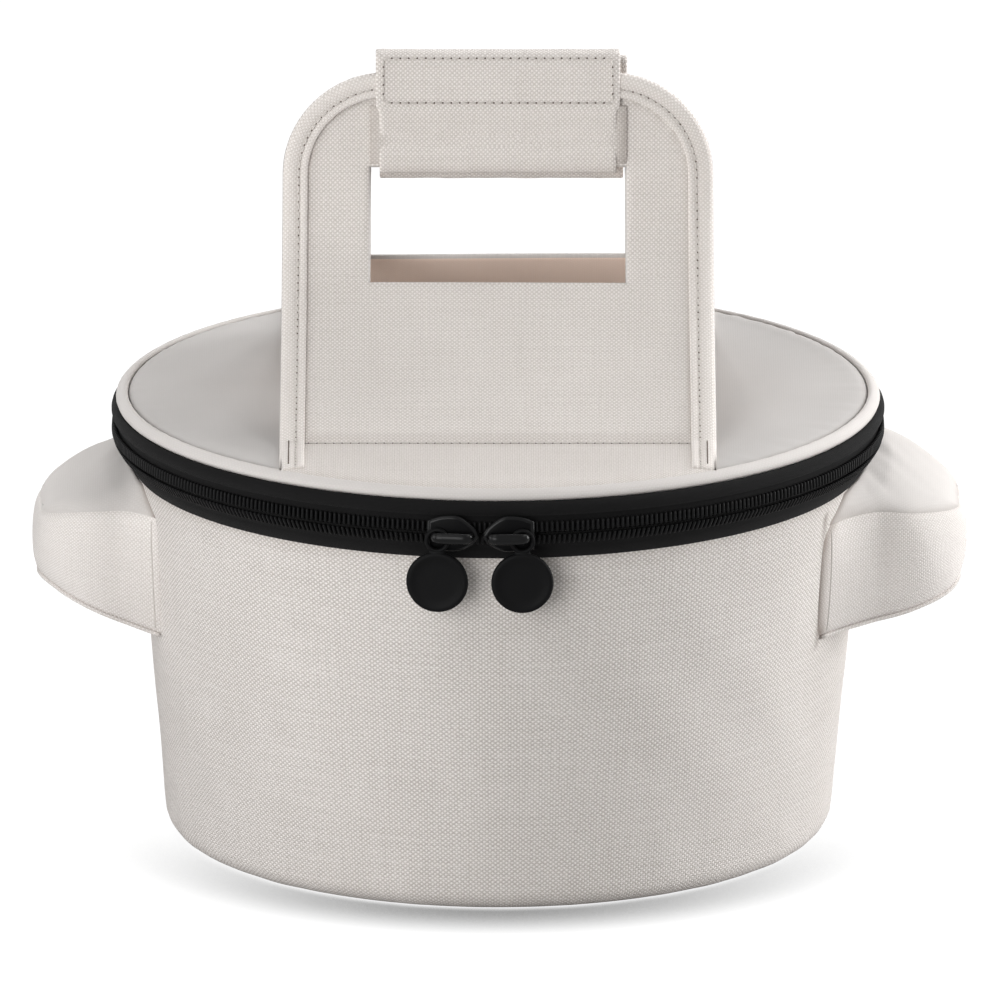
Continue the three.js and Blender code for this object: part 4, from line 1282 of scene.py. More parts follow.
@dataclass
class Lid:
    """The padded lid: rounded edge band, crowned top, foam, lining and inner binding."""

    canvas: float = 1.0 * MM
    gap: float = 0.2 * MM
    edge_width: float = LID_EDGE

    def build(self) -> None:
        """Makes the lid's pieces."""
        low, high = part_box("lid_band")
        self.edge_radius, self.seam_radius = high.x, high.x - self.edge_width
        self.low, self.top = low.z, high.z
        self.build_edge()
        self.build_top()
        round_layer("lid_pad", "lid_foam", Finish.FOAM, 2.5 * MM, "lid")
        round_layer("lid_lining_cloth", "lid_lining", Finish.LINING, 0.3 * MM, "lid")
        low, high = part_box("lid_binding")
        share = np.linspace(0.0, 1.0, 6)
        wide = high.x - (self.edge_radius - 1.3 * MM)
        profile = together(high.x - wide * share, low.z + (high.z - low.z) * share)
        skin = revolve(profile, ring_angles(240), True).shell(0.8 * MM)
        make_piece("lid_inner_tape", skin, [Finish.BINDING], "lid", ["lid_binding"])

    def build_edge(self) -> None:
        """The narrow band between zip and top, rolled over at its seam."""
        rise = self.top - self.low
        wide = self.edge_radius - self.seam_radius
        roll = np.array([(0.00, 0.00), (0.06, 0.14), (0.12, 0.32), (0.07, 0.52), (-0.12, 0.74), (-0.38, 0.92),
                         (-0.62, 1.00), (-0.82, 0.97), (-0.95, 0.84), (-1.0, 0.62)])
        profile = np.array([self.edge_radius, self.low]) + roll * (wide, rise)
        angles = ring_angles(288)
        surface = revolve(profile, angles, True)
        growing = np.linspace(0.2, 1.0, len(roll))[:, None]
        gathers = 0.16 * MM * waves(angles, (0.0524, 0.0785, 0.0349), 0.9) * growing
        skin = surface.raised(gathers).shell(self.canvas)
        make_piece("lid_edge", skin, [Finish.SMOOTH], "lid", ["lid_band"], self.edge_shade)

    def edge_shade(self, points: Array) -> Array:
        """Painted shade in the seam and just above the zip."""
        r = np.hypot(points[:, 0], points[:, 1])
        seam = 0.4 * fade(r - self.seam_radius, 0.7 * MM) * self.bare(points)
        return np.maximum(seam, 0.3 * fade(points[:, 2] - self.low, 0.8 * MM))

    def build_top(self) -> None:
        """The top panel: flat on its foam, rounded down into the seam, with small pulls from the stitches."""
        r = self.seam_radius - self.gap
        drop = np.array([(0.0, -1.9), (0.25, -1.2), (0.9, -0.55), (2.2, -0.1), (4.5, 0.12), (8.0, 0.12),
                         (13.0, 0.02)]) * MM
        over = together(r - drop[:, 0], self.top + drop[:, 1])
        flat = together(np.linspace(r - 20.0 * MM, 3.0 * MM, 30), self.top)
        under = together(np.linspace(3.0 * MM, r - 1.6 * MM, 20), self.top - self.canvas)
        lip = np.array([[r - 1.2 * MM, self.top - 2.0 * MM]])
        skin = lathe(chain(under, lip, over, flat), 288)
        radius = np.hypot(skin.points[:, 0], skin.points[:, 1])
        turn = np.arctan2(skin.points[:, 1], skin.points[:, 0])
        pulls = 0.45 * MM * waves(turn, (0.0698, 0.1047, 0.0419), 0.3) * fade(radius - r + 3.0 * MM, 5.0 * MM)
        swell = 0.25 * MM * waves(skin.points[:, 0] + 0.6 * skin.points[:, 1], (0.11, 0.073), 0.8)
        upper = skin.points[:, 2] > self.top - 1.0 * MM
        skin.points[:, 2] += (pulls + swell * (radius < r - 6.0 * MM)) * upper
        top = make_piece("lid_top_cloth", skin, [Finish.LID_CANVAS], "lid", ["lid_top_panel"],
                         self.top_shade)

    def top_shade(self, points: Array) -> Array:
        """Painted shade in the seam round the top."""
        r = np.hypot(points[:, 0], points[:, 1])
        return 0.4 * fade(self.seam_radius - r, 0.8 * MM) * self.bare(points)

    def bare(self, points: Array) -> Array:
        """Where the seam is not covered by the handles' feet."""
        return np.abs(points[:, 0]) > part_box("front_handle_panel")[1].x


# Handles

@dataclass
class Handle:
    """A carrying handle: bound panel with a hand window, sewn down on the lid, with a wrapped grip."""

    side: Side
    thick: float = 2.4 * MM
    binding: float = 0.8 * MM
    corner: float = 44.0 * MM
    flare: float = 1.35 * MM
    window_half: float = 55.0 * MM
    window_height: float = 47.2 * MM
    bar_height: float = 41.4 * MM
    stitch_in: float = 6.1 * MM
    hem: float = 9.9 * MM
    sunk: float = 1.9 * MM
    border_step: float = 2.5 * MM
    stitching: Stitching = Stitching()

    def __post_init__(self) -> None:
        """Reads the handle's place and size from the frame."""
        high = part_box(f"{self.side.value}_handle_panel")[1]
        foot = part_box("front_handle_foot")
        self.half, self.top = high.x, high.z
        self.drop = Vector((0.0, 0.0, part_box("front_handle_panel")[1].z - self.top))
        self.seam_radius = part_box("lid_band")[1].x - LID_EDGE + 1.4 * MM
        self.lid = foot[0].z + self.thick / 2
        self.pivot = -next(j for j in frame["joints"] if j["name"] == "front_handle_fold")["pos_m"][1]
        self.bar = -(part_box("front_grip_wrap")[0].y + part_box("front_grip_wrap")[1].y) / 2
        bar_low = self.top - self.bar_height
        self.raised = 2.4 * MM if self.side is Side.REAR else 0.0
        self.window_top = bar_low + 1.0 * MM + self.raised
        self.window_low = bar_low + self.drop.z - self.window_height
        self.line = self.middle_line()
        self.length = run_length(self.line)
        self.stitch_at = float(np.interp(-self.pivot, self.line[:, 0], self.length))

    def box(self, node: str) -> tuple[Vector, Vector]:
        """Box of one of the front handle's nodes, at this handle's height."""
        low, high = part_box(node)
        return low - self.drop, high - self.drop

    def middle_line(self) -> Array:
        """Middle of the cloth from the lid's seam to the top edge, as y and z."""
        reach, pull, rise = self.pivot - self.bar, 45.0 * MM, 90.0 * MM
        t = np.linspace(0.0, 1.0, 80)
        neck = together(-self.pivot + reach * (1.0 - (1.0 - t) ** 2),
                        self.lid + 2.0 * (1.0 - t) * t * pull + t * t * rise)
        foot = together(np.linspace(-self.seam_radius, -self.pivot, 60)[:-1], self.lid)
        upright = together(-self.bar, np.linspace(neck[-1, 1], self.top, 41)[1:])
        return chain(foot, neck, upright)

    def at(self, x: Array, along: Array, off: Array) -> Array:
        """Points on the cloth.

        Args:
            x: Places across the handle.
            along: Distances along its middle line.
            off: Heights off the middle of the cloth, out from the hand.

        Returns:
            Points in the frame of the front handle.
        """
        slope = np.gradient(self.line, self.length, axis=0)
        y, z, dy, dz = (np.interp(along, self.length, c) for c in (*self.line.T, *slope.T))
        lift = (off + self.bow(x, along)) / np.hypot(dy, dz)
        return together(x, y - lift * dz, z + lift * dy)

    def bow(self, x: Array, along: Array) -> Array:
        """How the cloth hangs off its middle line: slack in the neck, flat on the lid and at the grip."""
        reach = self.length[-1] - self.bar_height - self.stitch_at
        free = np.clip((along - self.stitch_at) / reach, 0.0, 1.0)
        slack = np.sin(math.pi * free) * (1.0 - (x / self.half) ** 2)
        twist = np.sin(math.tau * free) * np.sin(2.2 * x / self.half + 0.6)
        tucked = np.exp(-np.maximum(along - self.foot_start(x), 0.0) / (4.0 * MM))
        return MM * (0.9 * slack + 0.5 * twist - 0.85 * tucked)

    def half_width(self, along: Array) -> Array:
        """Half the panel's width: a little wider at the lid, round at the top corners."""
        above = np.clip(along - (self.length[-1] - self.corner), 0.0, self.corner)
        rounded = self.corner - np.sqrt(self.corner ** 2 - above ** 2)
        share = np.clip((along - self.stitch_at) / (self.length[-1] - self.stitch_at), 0.0, 1.0)
        return self.half + self.flare * (1.0 - share) - rounded

    def dip(self, x: Array, along: Array) -> Array:
        """How far the foot's face sinks below its full thickness towards the lid's seam."""
        start = self.foot_start(x)
        return self.sunk * np.clip((self.stitch_at - along) / (self.stitch_at - start), 0.0, 1.0)

    def foot_start(self, x: Array) -> Array:
        """Distance along the middle line at which the foot meets the lid's seam."""
        return self.seam_radius - np.sqrt(self.seam_radius ** 2 - np.minimum(np.abs(x), self.half) ** 2)

    def window_rows(self) -> tuple[float, float]:
        """Distances along the line of the window's lower and upper edges."""
        upper = slice(100, None)
        rows = np.interp([self.window_low, self.window_top], self.line[upper, 1], self.length[upper])
        return float(rows[0]), float(rows[1])

    def build(self) -> None:
        """Makes the handle's pieces, and sets the sleeve, grip, grip stitches and fastener tape on the
        handle's body.
        """
        self.build_panel()
        self.build_binding()
        self.build_grip()
        self.build_fastener()

    def put(self, kind: str, skin: Skin, finish: Sequence[Finish], nodes: Sequence[str] = (),
            shade: Shade | None = None, bends: bool = False) -> bpy.types.Object:
        """Makes one of the handle's pieces on its own side of the lid.

        Args:
            kind: The piece's name after that of the side.
            skin: Its faces, at the front handle's place.
            finish: Finishes in the order of the skin's finish numbers.
            nodes: CAD nodes that it stands for, without the side.
            shade: Gives how much painted shade points get, most in seams.
            bends: Whether it is set on no body, with its place baked into its mesh, rather than riding the
                handle.

        Returns:
            The new object.
        """
        name = self.side.value
        body = f"{name}_handle"
        piece = make_piece(f"{name}_{kind}", skin.turned(self.side.turn), finish,
                           None if bends else body, [f"{name}_{node}" for node in nodes], shade)
        if bends:
            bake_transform(piece)
        return piece

    def build_panel(self) -> None:
        """The panel and its foot as one cloth with the window cut out."""
        low, high = self.window_rows()
        edge = self.window_half / self.half
        hem = 1.0 - (self.hem + np.array([0.3, 1.7]) * MM) / self.half
        columns = merged(np.linspace(-1.0, 1.0, 61), [-edge, edge], hem, -hem, digits=6)
        foot = np.linspace(0.0, 1.0, 9)[:-1]
        free = merged(np.linspace(self.stitch_at, self.length[-1], 72), [low, high], digits=7)
        x_foot = columns[None, :] * self.half_width(np.full(1, self.stitch_at))
        start = self.foot_start(x_foot)
        s_foot = start + foot[:, None] * (self.stitch_at - start)
        x_free = columns[None, :] * self.half_width(free)[:, None]
        x, s = chain(together(x_foot, s_foot), together(x_free, free[:, None])).transpose(2, 0, 1)
        dip = self.dip(x, s)
        press = -0.35 * MM * fade(s - self.stitch_at, 1.5 * MM)
        surface = Surface(self.at(x, s, self.thick / 2 + press - dip), together(x, s))
        level = (s[:-1, 0] + s[1:, 0]) / 2
        level[: len(foot)] = 0.0
        middle = (columns[:-1] + columns[1:]) / 2
        keep = ~((level[:, None] > low) & (level[:, None] < high) & (np.abs(middle)[None, :] < edge))
        skin = surface.shell(self.thick - dip, keep, inside=1, edge=2)
        panel = self.put("handle_cloth", skin, [Finish.HANDLE, Finish.INSIDE, Finish.SMOOTH],
                         ["handle_panel", "handle_foot"], self.panel_shade, bends=True)
        self.build_foot_seams()

    def build_foot_seams(self) -> None:
        """The row of stitches that holds the foot, and a dark cord of painted shade for the slits at the
        binding's two ends.
        """
        row = np.linspace(-self.half + 3.0 * MM, self.half - 3.0 * MM, 120)
        line, above = (self.at(row, self.stitch_at, off) for off in (self.thick / 2 - 0.12 * MM, self.thick))
        skins = [self.stitching.along(line, above - line)]
        for sign in (-1.0, 1.0):
            x = np.full(12, sign * (self.half - 1.8 * MM))
            run = np.linspace(self.stitch_at - 1.0 * MM, float(self.foot_start(x[0])) + 6.0 * MM, 12)
            # Painted shade: a thin cord in the dark hole finish for each of the binding's slits.
            painted_slit_shade = cord(self.at(x, run, self.thick / 2 + 1.1 * MM - 1.3 * self.dip(x, run)), 0.28 * MM)
            painted_slit_shade.finish += 1
            skins.append(painted_slit_shade)
        self.put("foot_stitches", Skin.joined(skins), STITCHED, bends=True)

    def panel_shade(self, points: Array) -> Array:
        """Painted shade at the stitch line, all over the foot and along the binding's hem."""
        foot = points[:, 2] < self.lid + 4.0 * MM
        # Painted shade: the whole foot is darkened a little, for the light that falls on it less than on the
        # upright panel.
        seam = np.maximum(0.2 * fade(np.abs(points[:, 1]) - self.pivot, 0.8 * MM), 0.15) * foot
        # Painted shade in a narrow line on the panel just inside the binding's hem.
        off = self.edge_distance(points) - self.hem
        return np.maximum(seam, 0.45 * fade(off, 1.0 * MM) * (off > 0.0) * ~foot)

    def edge_distance(self, points: Array) -> Array:
        """How far in from the panel's outer edge points of the scene lie."""
        x, z = np.abs(points[:, 0]), points[:, 2]
        share = np.clip((z - self.lid) / (self.top - self.lid), 0.0, 1.0)
        past = together(x - self.half - self.flare * (1.0 - share), z - self.top) + self.corner
        return self.corner - np.linalg.norm(np.maximum(past, 0.0), axis=1) - np.minimum(past.max(axis=1), 0.0)

    def border(self) -> Array:
        """The panel's outer edge, from the foot's left corner over the top to its right corner."""
        end = self.length[-1]
        rise = np.linspace(float(self.foot_start(np.array(self.half))) + 0.4 * MM, end - self.corner, 60)
        side = together(self.half_width(rise), rise)
        round_top = arc((side[-1, 0] - self.corner, end - self.corner), self.corner, 0.0, 90.0, 16)[1:]
        right = chain(side, round_top)
        return even_line(chain(right * (-1.0, 1.0), right[::-1]), self.border_step)

    def build_binding(self) -> None:
        """The folded edge tape with its raised inner hem and a row of stitches on each face."""
        path = self.border()
        ahead = np.gradient(path, axis=0)
        inward = unit(together(ahead[:, 1], -ahead[:, 0]))
        inner = self.thick / 2 + 0.2 * MM
        face = inner + self.binding
        deep = self.hem
        crown = [(deep, inner + 0.1 * MM), (deep - 0.1 * MM, face + 0.15 * MM),
                 (deep - 0.8 * MM, face + 0.55 * MM), (deep - 1.9 * MM, face + 0.5 * MM),
                 (self.stitch_in + 0.7 * MM, face), (self.stitch_in, face - 0.25 * MM),
                 (self.stitch_in - 0.8 * MM, face), (3.4 * MM, face + 0.12 * MM),
                 (1.0 * MM, face - 0.1 * MM), (-0.35 * MM, 0.62 * face), (-0.75 * MM, 0.0)]
        lining = [(d if d > 2.0 * MM else max(d, 0.05 * MM), min(h, inner)) for d, h in crown]
        outer, inside = (np.array(half + [(d, -h) for d, h in half[-2::-1]]) for half in (crown, lining))
        profile = chain(outer, inside[::-1])
        place = path[:, None] + inward[:, None] * profile[None, :, :1]
        along = np.arange(len(path))[:, None] * self.border_step
        pucker = 0.12 * MM * waves(along, (7.2 * MM, 23.0 * MM), 0.7)
        off = profile[:, 1] + pucker * np.sign(profile[:, 1])
        flat = np.clip((self.stitch_at + 6.0 * MM - place[..., 1]) / (6.0 * MM), 0.0, 1.0)
        low = np.maximum(off, -self.thick / 2 - 0.15 * MM)
        off = off + flat * (low - off) - 1.3 * self.dip(place[..., 0], place[..., 1]) * (off > 0)
        wide = np.append(profile[:, 0] * np.sign(profile[:, 1] + 1e-9), profile[0, 0])
        skin = Surface(self.at(place[..., 0], place[..., 1], off), together(wide, along), True).tube()
        # Painted shade in the groove of the binding's stitch line.
        self.put("handle_edge", skin, [Finish.BINDING], ["handle_binding"],
                 lambda p: 0.4 * fade(self.edge_distance(p) - self.stitch_in, 0.5 * MM), bends=True)
        rows = []
        for sign in (1.0, -1.0):
            row = path + inward * self.stitch_in
            row = row[row[:, 1] > self.stitch_at] if sign < 0 else row
            dip = 1.3 * self.dip(row[:, 0], row[:, 1])
            line, above = (self.at(*row.T, sign * (face + rise - dip)) for rise in (-0.2 * MM, 1.0 * MM))
            rows.append(self.stitching.along(line, above - line))
        self.put("edge_stitches", Skin.joined(rows), STITCHED, bends=True)

    def build_grip(self) -> None:
        """The sleeve round the bar and the stitched grip over it."""
        low, high = self.box("front_bar_sleeve")
        section = self.pocket_section(low + Vector((0.0, 0.0, 2.2 * MM + self.raised)), high, 7.0 * MM)
        skin = self.swept(section, np.linspace(low.x, high.x, 25), False, lambda x, s: 0.0 * x * s[..., 0])
        end = high.x
        # Painted shade at the sleeve's cut ends and where the grip's edge meets it.
        self.put("sleeve_cloth", skin.shell(1.0 * MM).outward(), [Finish.HANDLE], ["bar_sleeve"],
                 lambda p: np.maximum(0.5 * fade(end - np.abs(p[:, 0]), 0.4 * MM),
                                      0.2 * fade(np.abs(p[:, 0]) - 50.0 * MM, 1.0 * MM)))
        low, high = self.box("front_grip_wrap")
        bend = 2.2 * MM
        section = chain(self.pocket_section(low, high, 8.0 * MM)[4:-4],
                        arc((high.y - bend, high.z - bend), bend, 0.0, 90.0, 5),
                        arc((low.y + bend, high.z - bend), bend, 90.0, 180.0, 5))
        section = even_line(chain(section, section[:1]), 1.3 * MM)[:-1]
        self.rows = (high.z - 2.6 * MM, high.z - 22.3 * MM)
        reach = 3.0 * MM if self.side is Side.REAR else 0.0
        wide = np.linspace(low.x - reach, high.x, 61)
        surface = self.swept(section, wide, True, self.grip_relief)
        tuck = 1.0 - 0.032 / (1.0 + np.exp((section[:, 1] - self.rows[1] + 3.0 * MM) / (0.5 * MM)))
        surface.points[..., 0] *= tuck[None, :]
        # Painted shade, a little darker towards the grip's lower edge.
        grip = self.put("grip_cloth", surface.shell(1.2 * MM).outward(), [Finish.HANDLE], ["grip_wrap"],
                        lambda p: 0.08 * fade(np.maximum(p[:, 2] - low.z, 0.0), 3.0 * MM))
        self.build_grip_stitches(low, high)

    def pocket_section(self, low: Vector, high: Vector, curve: float) -> Array:
        """A U of y and z: down the outer face of a box, round an elliptical bottom and up the inner face."""
        middle, half = (low.y + high.y) / 2, (high.y - low.y) / 2
        turn = np.linspace(math.pi, math.tau, 17)
        bottom = together(middle + half * np.cos(turn), low.z + curve + curve * np.sin(turn))
        rise = np.linspace(high.z, low.z + curve, 9)[:-1]
        return chain(together(low.y, rise), bottom, together(high.y, rise[::-1]))

    def swept(self, section: Array, places: Array, wrap: bool,
              relief: Callable[[Array, Array], Array]) -> Surface:
        """A section of y and z carried across the handle.

        Args:
            section: Points of the section.
            places: Places across the handle.
            wrap: Whether the section closes.
            relief: Gives the height off the plain section at a place across and a point of the section.

        Returns:
            The surface, facing out.
        """
        across = places[:, None]
        closed = chain(section, section[:1]) if wrap else section
        surface = Surface(together(across, *section.T), together(across, run_length(closed)), wrap)
        return surface.raised(-relief(across, section[None, :, :]))

    def grip_relief(self, x: Array, section: Array) -> Array:
        """Pillows between the stitch rows, dimples along them."""
        y, z = section[..., 0], section[..., 1]
        inset = 51.7 * MM - np.abs(x) - 2.8 * MM
        rows = sum(fade(z - row, 1.3 * MM) for row in self.rows)
        rows = rows + 0.8 * fade(inset, 1.3 * MM) * (z > self.rows[1])
        rows = np.minimum(rows, 1.0)
        soft = 0.2 * waves(x + 0.4 * z, (31.0 * MM, 17.0 * MM), 1.9) * np.clip(inset / (9.0 * MM), 0.0, 1.0)
        below = 1.4 * np.exp(-((z - self.rows[1] + 17.0 * MM) / (9.0 * MM)) ** 2) * (y < -self.bar)
        flap = 0.4 * (z > self.rows[1] - 3.0 * MM) * (y < -self.bar)
        return MM * (soft * (1.0 - rows) * 0.6 - 0.35 * rows + below + flap)

    def build_grip_stitches(self, low: Vector, high: Vector) -> None:
        """A sewn box on each face of the grip's flap."""
        inset = 2.8 * MM
        left, right = low.x + inset, high.x - inset
        top, foot = self.rows
        box = np.array([(left, top), (right, top), (right, foot), (left, foot), (left, top)])
        skins = []
        for y, out in ((low.y - 0.1 * MM, -1.0), (high.y + 0.3 * MM, 1.0)):
            for first, second in zip(box[:-1], box[1:]):
                run = np.linspace(first, second, 30)
                line = together(run[:, 0], y, run[:, 1])
                skins.append(self.stitching.along(line, np.tile((0.0, out, 0.0), (30, 1))))
        self.put("grip_stitches", Skin.joined(skins), STITCHED)

    def build_fastener(self) -> None:
        """Hook tape on the front grip and loop tape on the rear one, facing each other."""
        kind = "hook" if self.side is Side.FRONT else "loop"
        low, high = self.box("front_hook_tape")
        column, row = np.arange(93), np.arange(21)[:, None]
        fine = np.cos(math.pi * column) * np.cos(math.pi * row)
        rim = (column % 90 > 2) & (row % 18 > 2)
        y = high.y - 0.25 * MM + 0.25 * MM * fine * rim
        points = together(np.linspace(low.x, high.x, 93), y, np.linspace(low.z, high.z, 21)[:, None])[:, ::-1]
        skin = Surface(points, points[..., ::2]).shell(high.y - low.y - 0.3 * MM).outward()
        self.put(f"{kind}_pile", skin, [Finish.PILE], [f"{kind}_tape"])


# Sliders

@dataclass
class Slider:
    """A zip slider with its arched bridge and the round pull that hangs from it."""

    hand: Hand
    middle: float
    length: float = 22.0 * MM
    height: float = 14.0 * MM
    plate: float = 1.7 * MM
    span: float = 15.4 * MM
    bar: float = 1.7 * MM
    pull_radius: float = 13.25 * MM
    pull_thick: float = 3.0 * MM

    def __post_init__(self) -> None:
        """Reads the slider's place on the rim from the frame."""
        low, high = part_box(f"{self.hand.value}_slider_bridge")
        centre = (low + high) / 2
        self.angle = math.atan2(centre.x, -centre.y)
        self.nose = -self.hand.sign
        self.inner = 159.1 * MM
        self.outer = 166.0 * MM
        self.seat = self.outer + self.plate

    def outline(self) -> Array:
        """Outline of the plate seen from the front: square heel, pointed nose, arched long sides."""
        t = np.linspace(0.0, 1.0, 13)
        x = self.length * (t - 0.5)
        arch = self.height / 2 * np.minimum(1.0, 0.80 + 0.24 * np.sin(math.pi * (t + 0.1)))
        nose = np.sqrt(np.clip(1.0 - np.clip((t - 0.48) / 0.52, 0.0, 1.0) ** 2.2, 0.0, 1.0))
        upper = together(self.nose * x, arch * np.maximum(nose, 0.10))
        lower = (upper * (1.0, -1.0))[::-1]
        return chain(upper * together(1.0, 1.0 + 0.22 * np.sin(math.pi * t)), lower)

    def slab(self, near: float, far: float, dome: float) -> Skin:
        """A plate of the slider between two distances from the tub's axis, domed outwards."""
        rim = self.outline()
        levels = [(0.02, far + dome), (0.35, far + 0.9 * dome), (0.65, far + 0.6 * dome),
                  (0.86, far + 0.2 * dome), (0.96, far - 0.12 * self.plate),
                  (1.0, far - 0.4 * self.plate), (1.0, near + 0.3 * self.plate),
                  (0.95, near), (0.5, near), (0.02, near)]
        scale, r = np.array(levels).T[..., None]
        skin = faced_tube(together(scale * rim[:, 0], -r, self.middle + scale * rim[:, 1]))
        skin.finish[3 * len(rim): 5 * len(rim)] = 1
        return skin

    def bar_along(self, path: Array, sizes: Array) -> Skin:
        """A round bar along a path of x and distance from the axis, with its two half sizes at each point."""
        ahead = unit(np.gradient(path, axis=0))
        turn, side = ring(16), together(-ahead[:, 1], ahead[:, 0])
        flat = path[:, None] + side[:, None] * (np.cos(turn)[None, :, None] * sizes[:, None, :1])
        return plain_tube(together(flat[..., 0], -flat[..., 1], self.middle + np.sin(turn) * sizes[:, 1:]))

    def build(self) -> None:
        """Makes body, bridge and pull."""
        body = Skin.joined([self.slab(self.outer, self.seat, 0.7 * MM).outward(),
                            self.slab(self.inner, self.inner + self.plate, 0.0).outward(),
                            self.post().outward()])
        parts = (("slider_shell", body, [Finish.PLATE, Finish.SLIDER], "slider", "slider_body"),
                 ("slider_arch", self.bridge(), [Finish.SLIDER], "slider", "slider_bridge"),
                 ("pull_disc", self.pull(), [Finish.PULL], "pull", "pull"))
        name = self.hand.value
        for kind, skin, finish, slot, node in parts:
            placed = skin.outward().turned(self.angle)
            make_piece(f"{name}_{kind}", placed, finish, f"{name}_{slot}", [f"{name}_{node}"])

    def bridge(self) -> Skin:
        """The arch that the pull hangs from."""
        half, top = self.span / 2, self.seat + 5.4 * MM
        bend = 2.4 * MM
        low, high = self.seat + 0.3 * MM, self.seat + 1.4 * MM
        path = chain([(-half, low), (-half, high)], arc((-half + bend, top - bend), bend, 180.0, 90.0, 6),
                     arc((half - bend, top - bend), bend, 90.0, 0.0, 6), [(half, high), (half, low)])
        path = even_line(path, 1.0 * MM)
        share = np.sin(math.pi * np.linspace(0.0, 1.0, len(path))) ** 0.6
        return self.bar_along(path, together(self.bar - 0.15 * MM * share, self.bar + 0.75 * MM * share))

    def post(self) -> Skin:
        """The post between the two plates, in the slot between the rows of teeth."""
        r = np.linspace(self.inner + 1.0 * MM, self.outer + 0.6 * MM, 4)[:, None]
        x = self.nose * (self.length / 2 - 4.0 * MM) + 2.0 * MM * np.cos(ring(12))
        return plain_tube(together(x, -r, self.middle + 0.4 * MM * np.sin(ring(12))))

    def pull(self) -> Skin:
        """A dished disc with a rounded rim, joined by a neck to the eye round the bridge's outer leg."""
        leg = -self.nose * (self.span / 2 - (1.2 * MM if self.hand is Hand.LEFT else 1.8 * MM))
        plane = self.seat + 0.4 * MM + self.pull_thick / 2
        eye_drop, eye_radius, eye_hole = 1.8 * MM, 5.4 * MM, 3.6 * MM
        disc_drop = eye_drop + eye_radius + self.pull_radius - 0.4 * MM
        half = self.pull_thick / 2
        r = self.pull_radius
        dish = [(0.03, -0.55), (0.45, -0.55), (0.60, -0.57), (0.72, -0.66), (0.80, -0.86),
                (0.85, -0.97), (0.90, -1.0), (0.95, -0.90), (0.985, -0.55), (1.0, 0.0),
                (0.985, 0.6), (0.94, 0.95), (0.85, 1.0), (0.03, 1.0)]
        scale, depth = np.array(dish).T[..., None]
        low = self.middle - disc_drop
        disc = faced_tube(together(leg + scale * r * np.cos(ring(64)), depth * half - plane,
                                   low + scale * r * np.sin(ring(64))))
        bore = np.array([(eye_hole, 0.0), (eye_hole + 0.2 * MM, 0.75), (eye_hole + 0.7 * MM, 1.0),
                         (eye_radius - 0.7 * MM, 1.0), (eye_radius - 0.15 * MM, 0.7), (eye_radius, 0.0)])
        section = chain(bore, (bore * (1.0, -1.0))[-2:0:-1]) * (1.0, 1.1 * MM) + (0.0, plane)
        eye = self.eye(section, leg, self.middle - eye_drop)
        neck = self.neck(leg, plane, self.middle - eye_drop - eye_radius)
        return Skin.joined([disc.outward(), eye.outward(), neck.outward()])

    def eye(self, section: Array, x: float, z: float) -> Skin:
        """A ring with a closed section of radius and distance from the axis."""
        turn = ring(48)[:, None]
        radius, depth = section.T
        grid = together(x + radius * np.cos(turn), -depth, z + radius * np.sin(turn))
        index = np.arange(grid[..., 0].size).reshape(grid.shape[:2])
        right, up = np.roll(index, -1, axis=1), np.roll(index, -1, axis=0)
        faces = together(index, right, np.roll(right, -1, axis=0), up).reshape(-1, 4)
        flat = grid.reshape(-1, 3)
        return Skin.of(flat, faces, flat[:, ::2])

    def neck(self, x: float, plane: float, z: float) -> Skin:
        """The short web between eye and disc."""
        rows = [(1.6, 3.4, 0.8), (0.8, 3.2, 1.05), (0.0, 3.6, 1.2), (-1.0, 4.6, 1.3), (-2.2, 6.2, 1.2)]
        height, wide, deep = np.array(rows).T[..., None] * MM
        return plain_tube(together(x + wide * np.cos(ring(12)), -plane - deep * np.sin(ring(12)), z + height))


# Stage

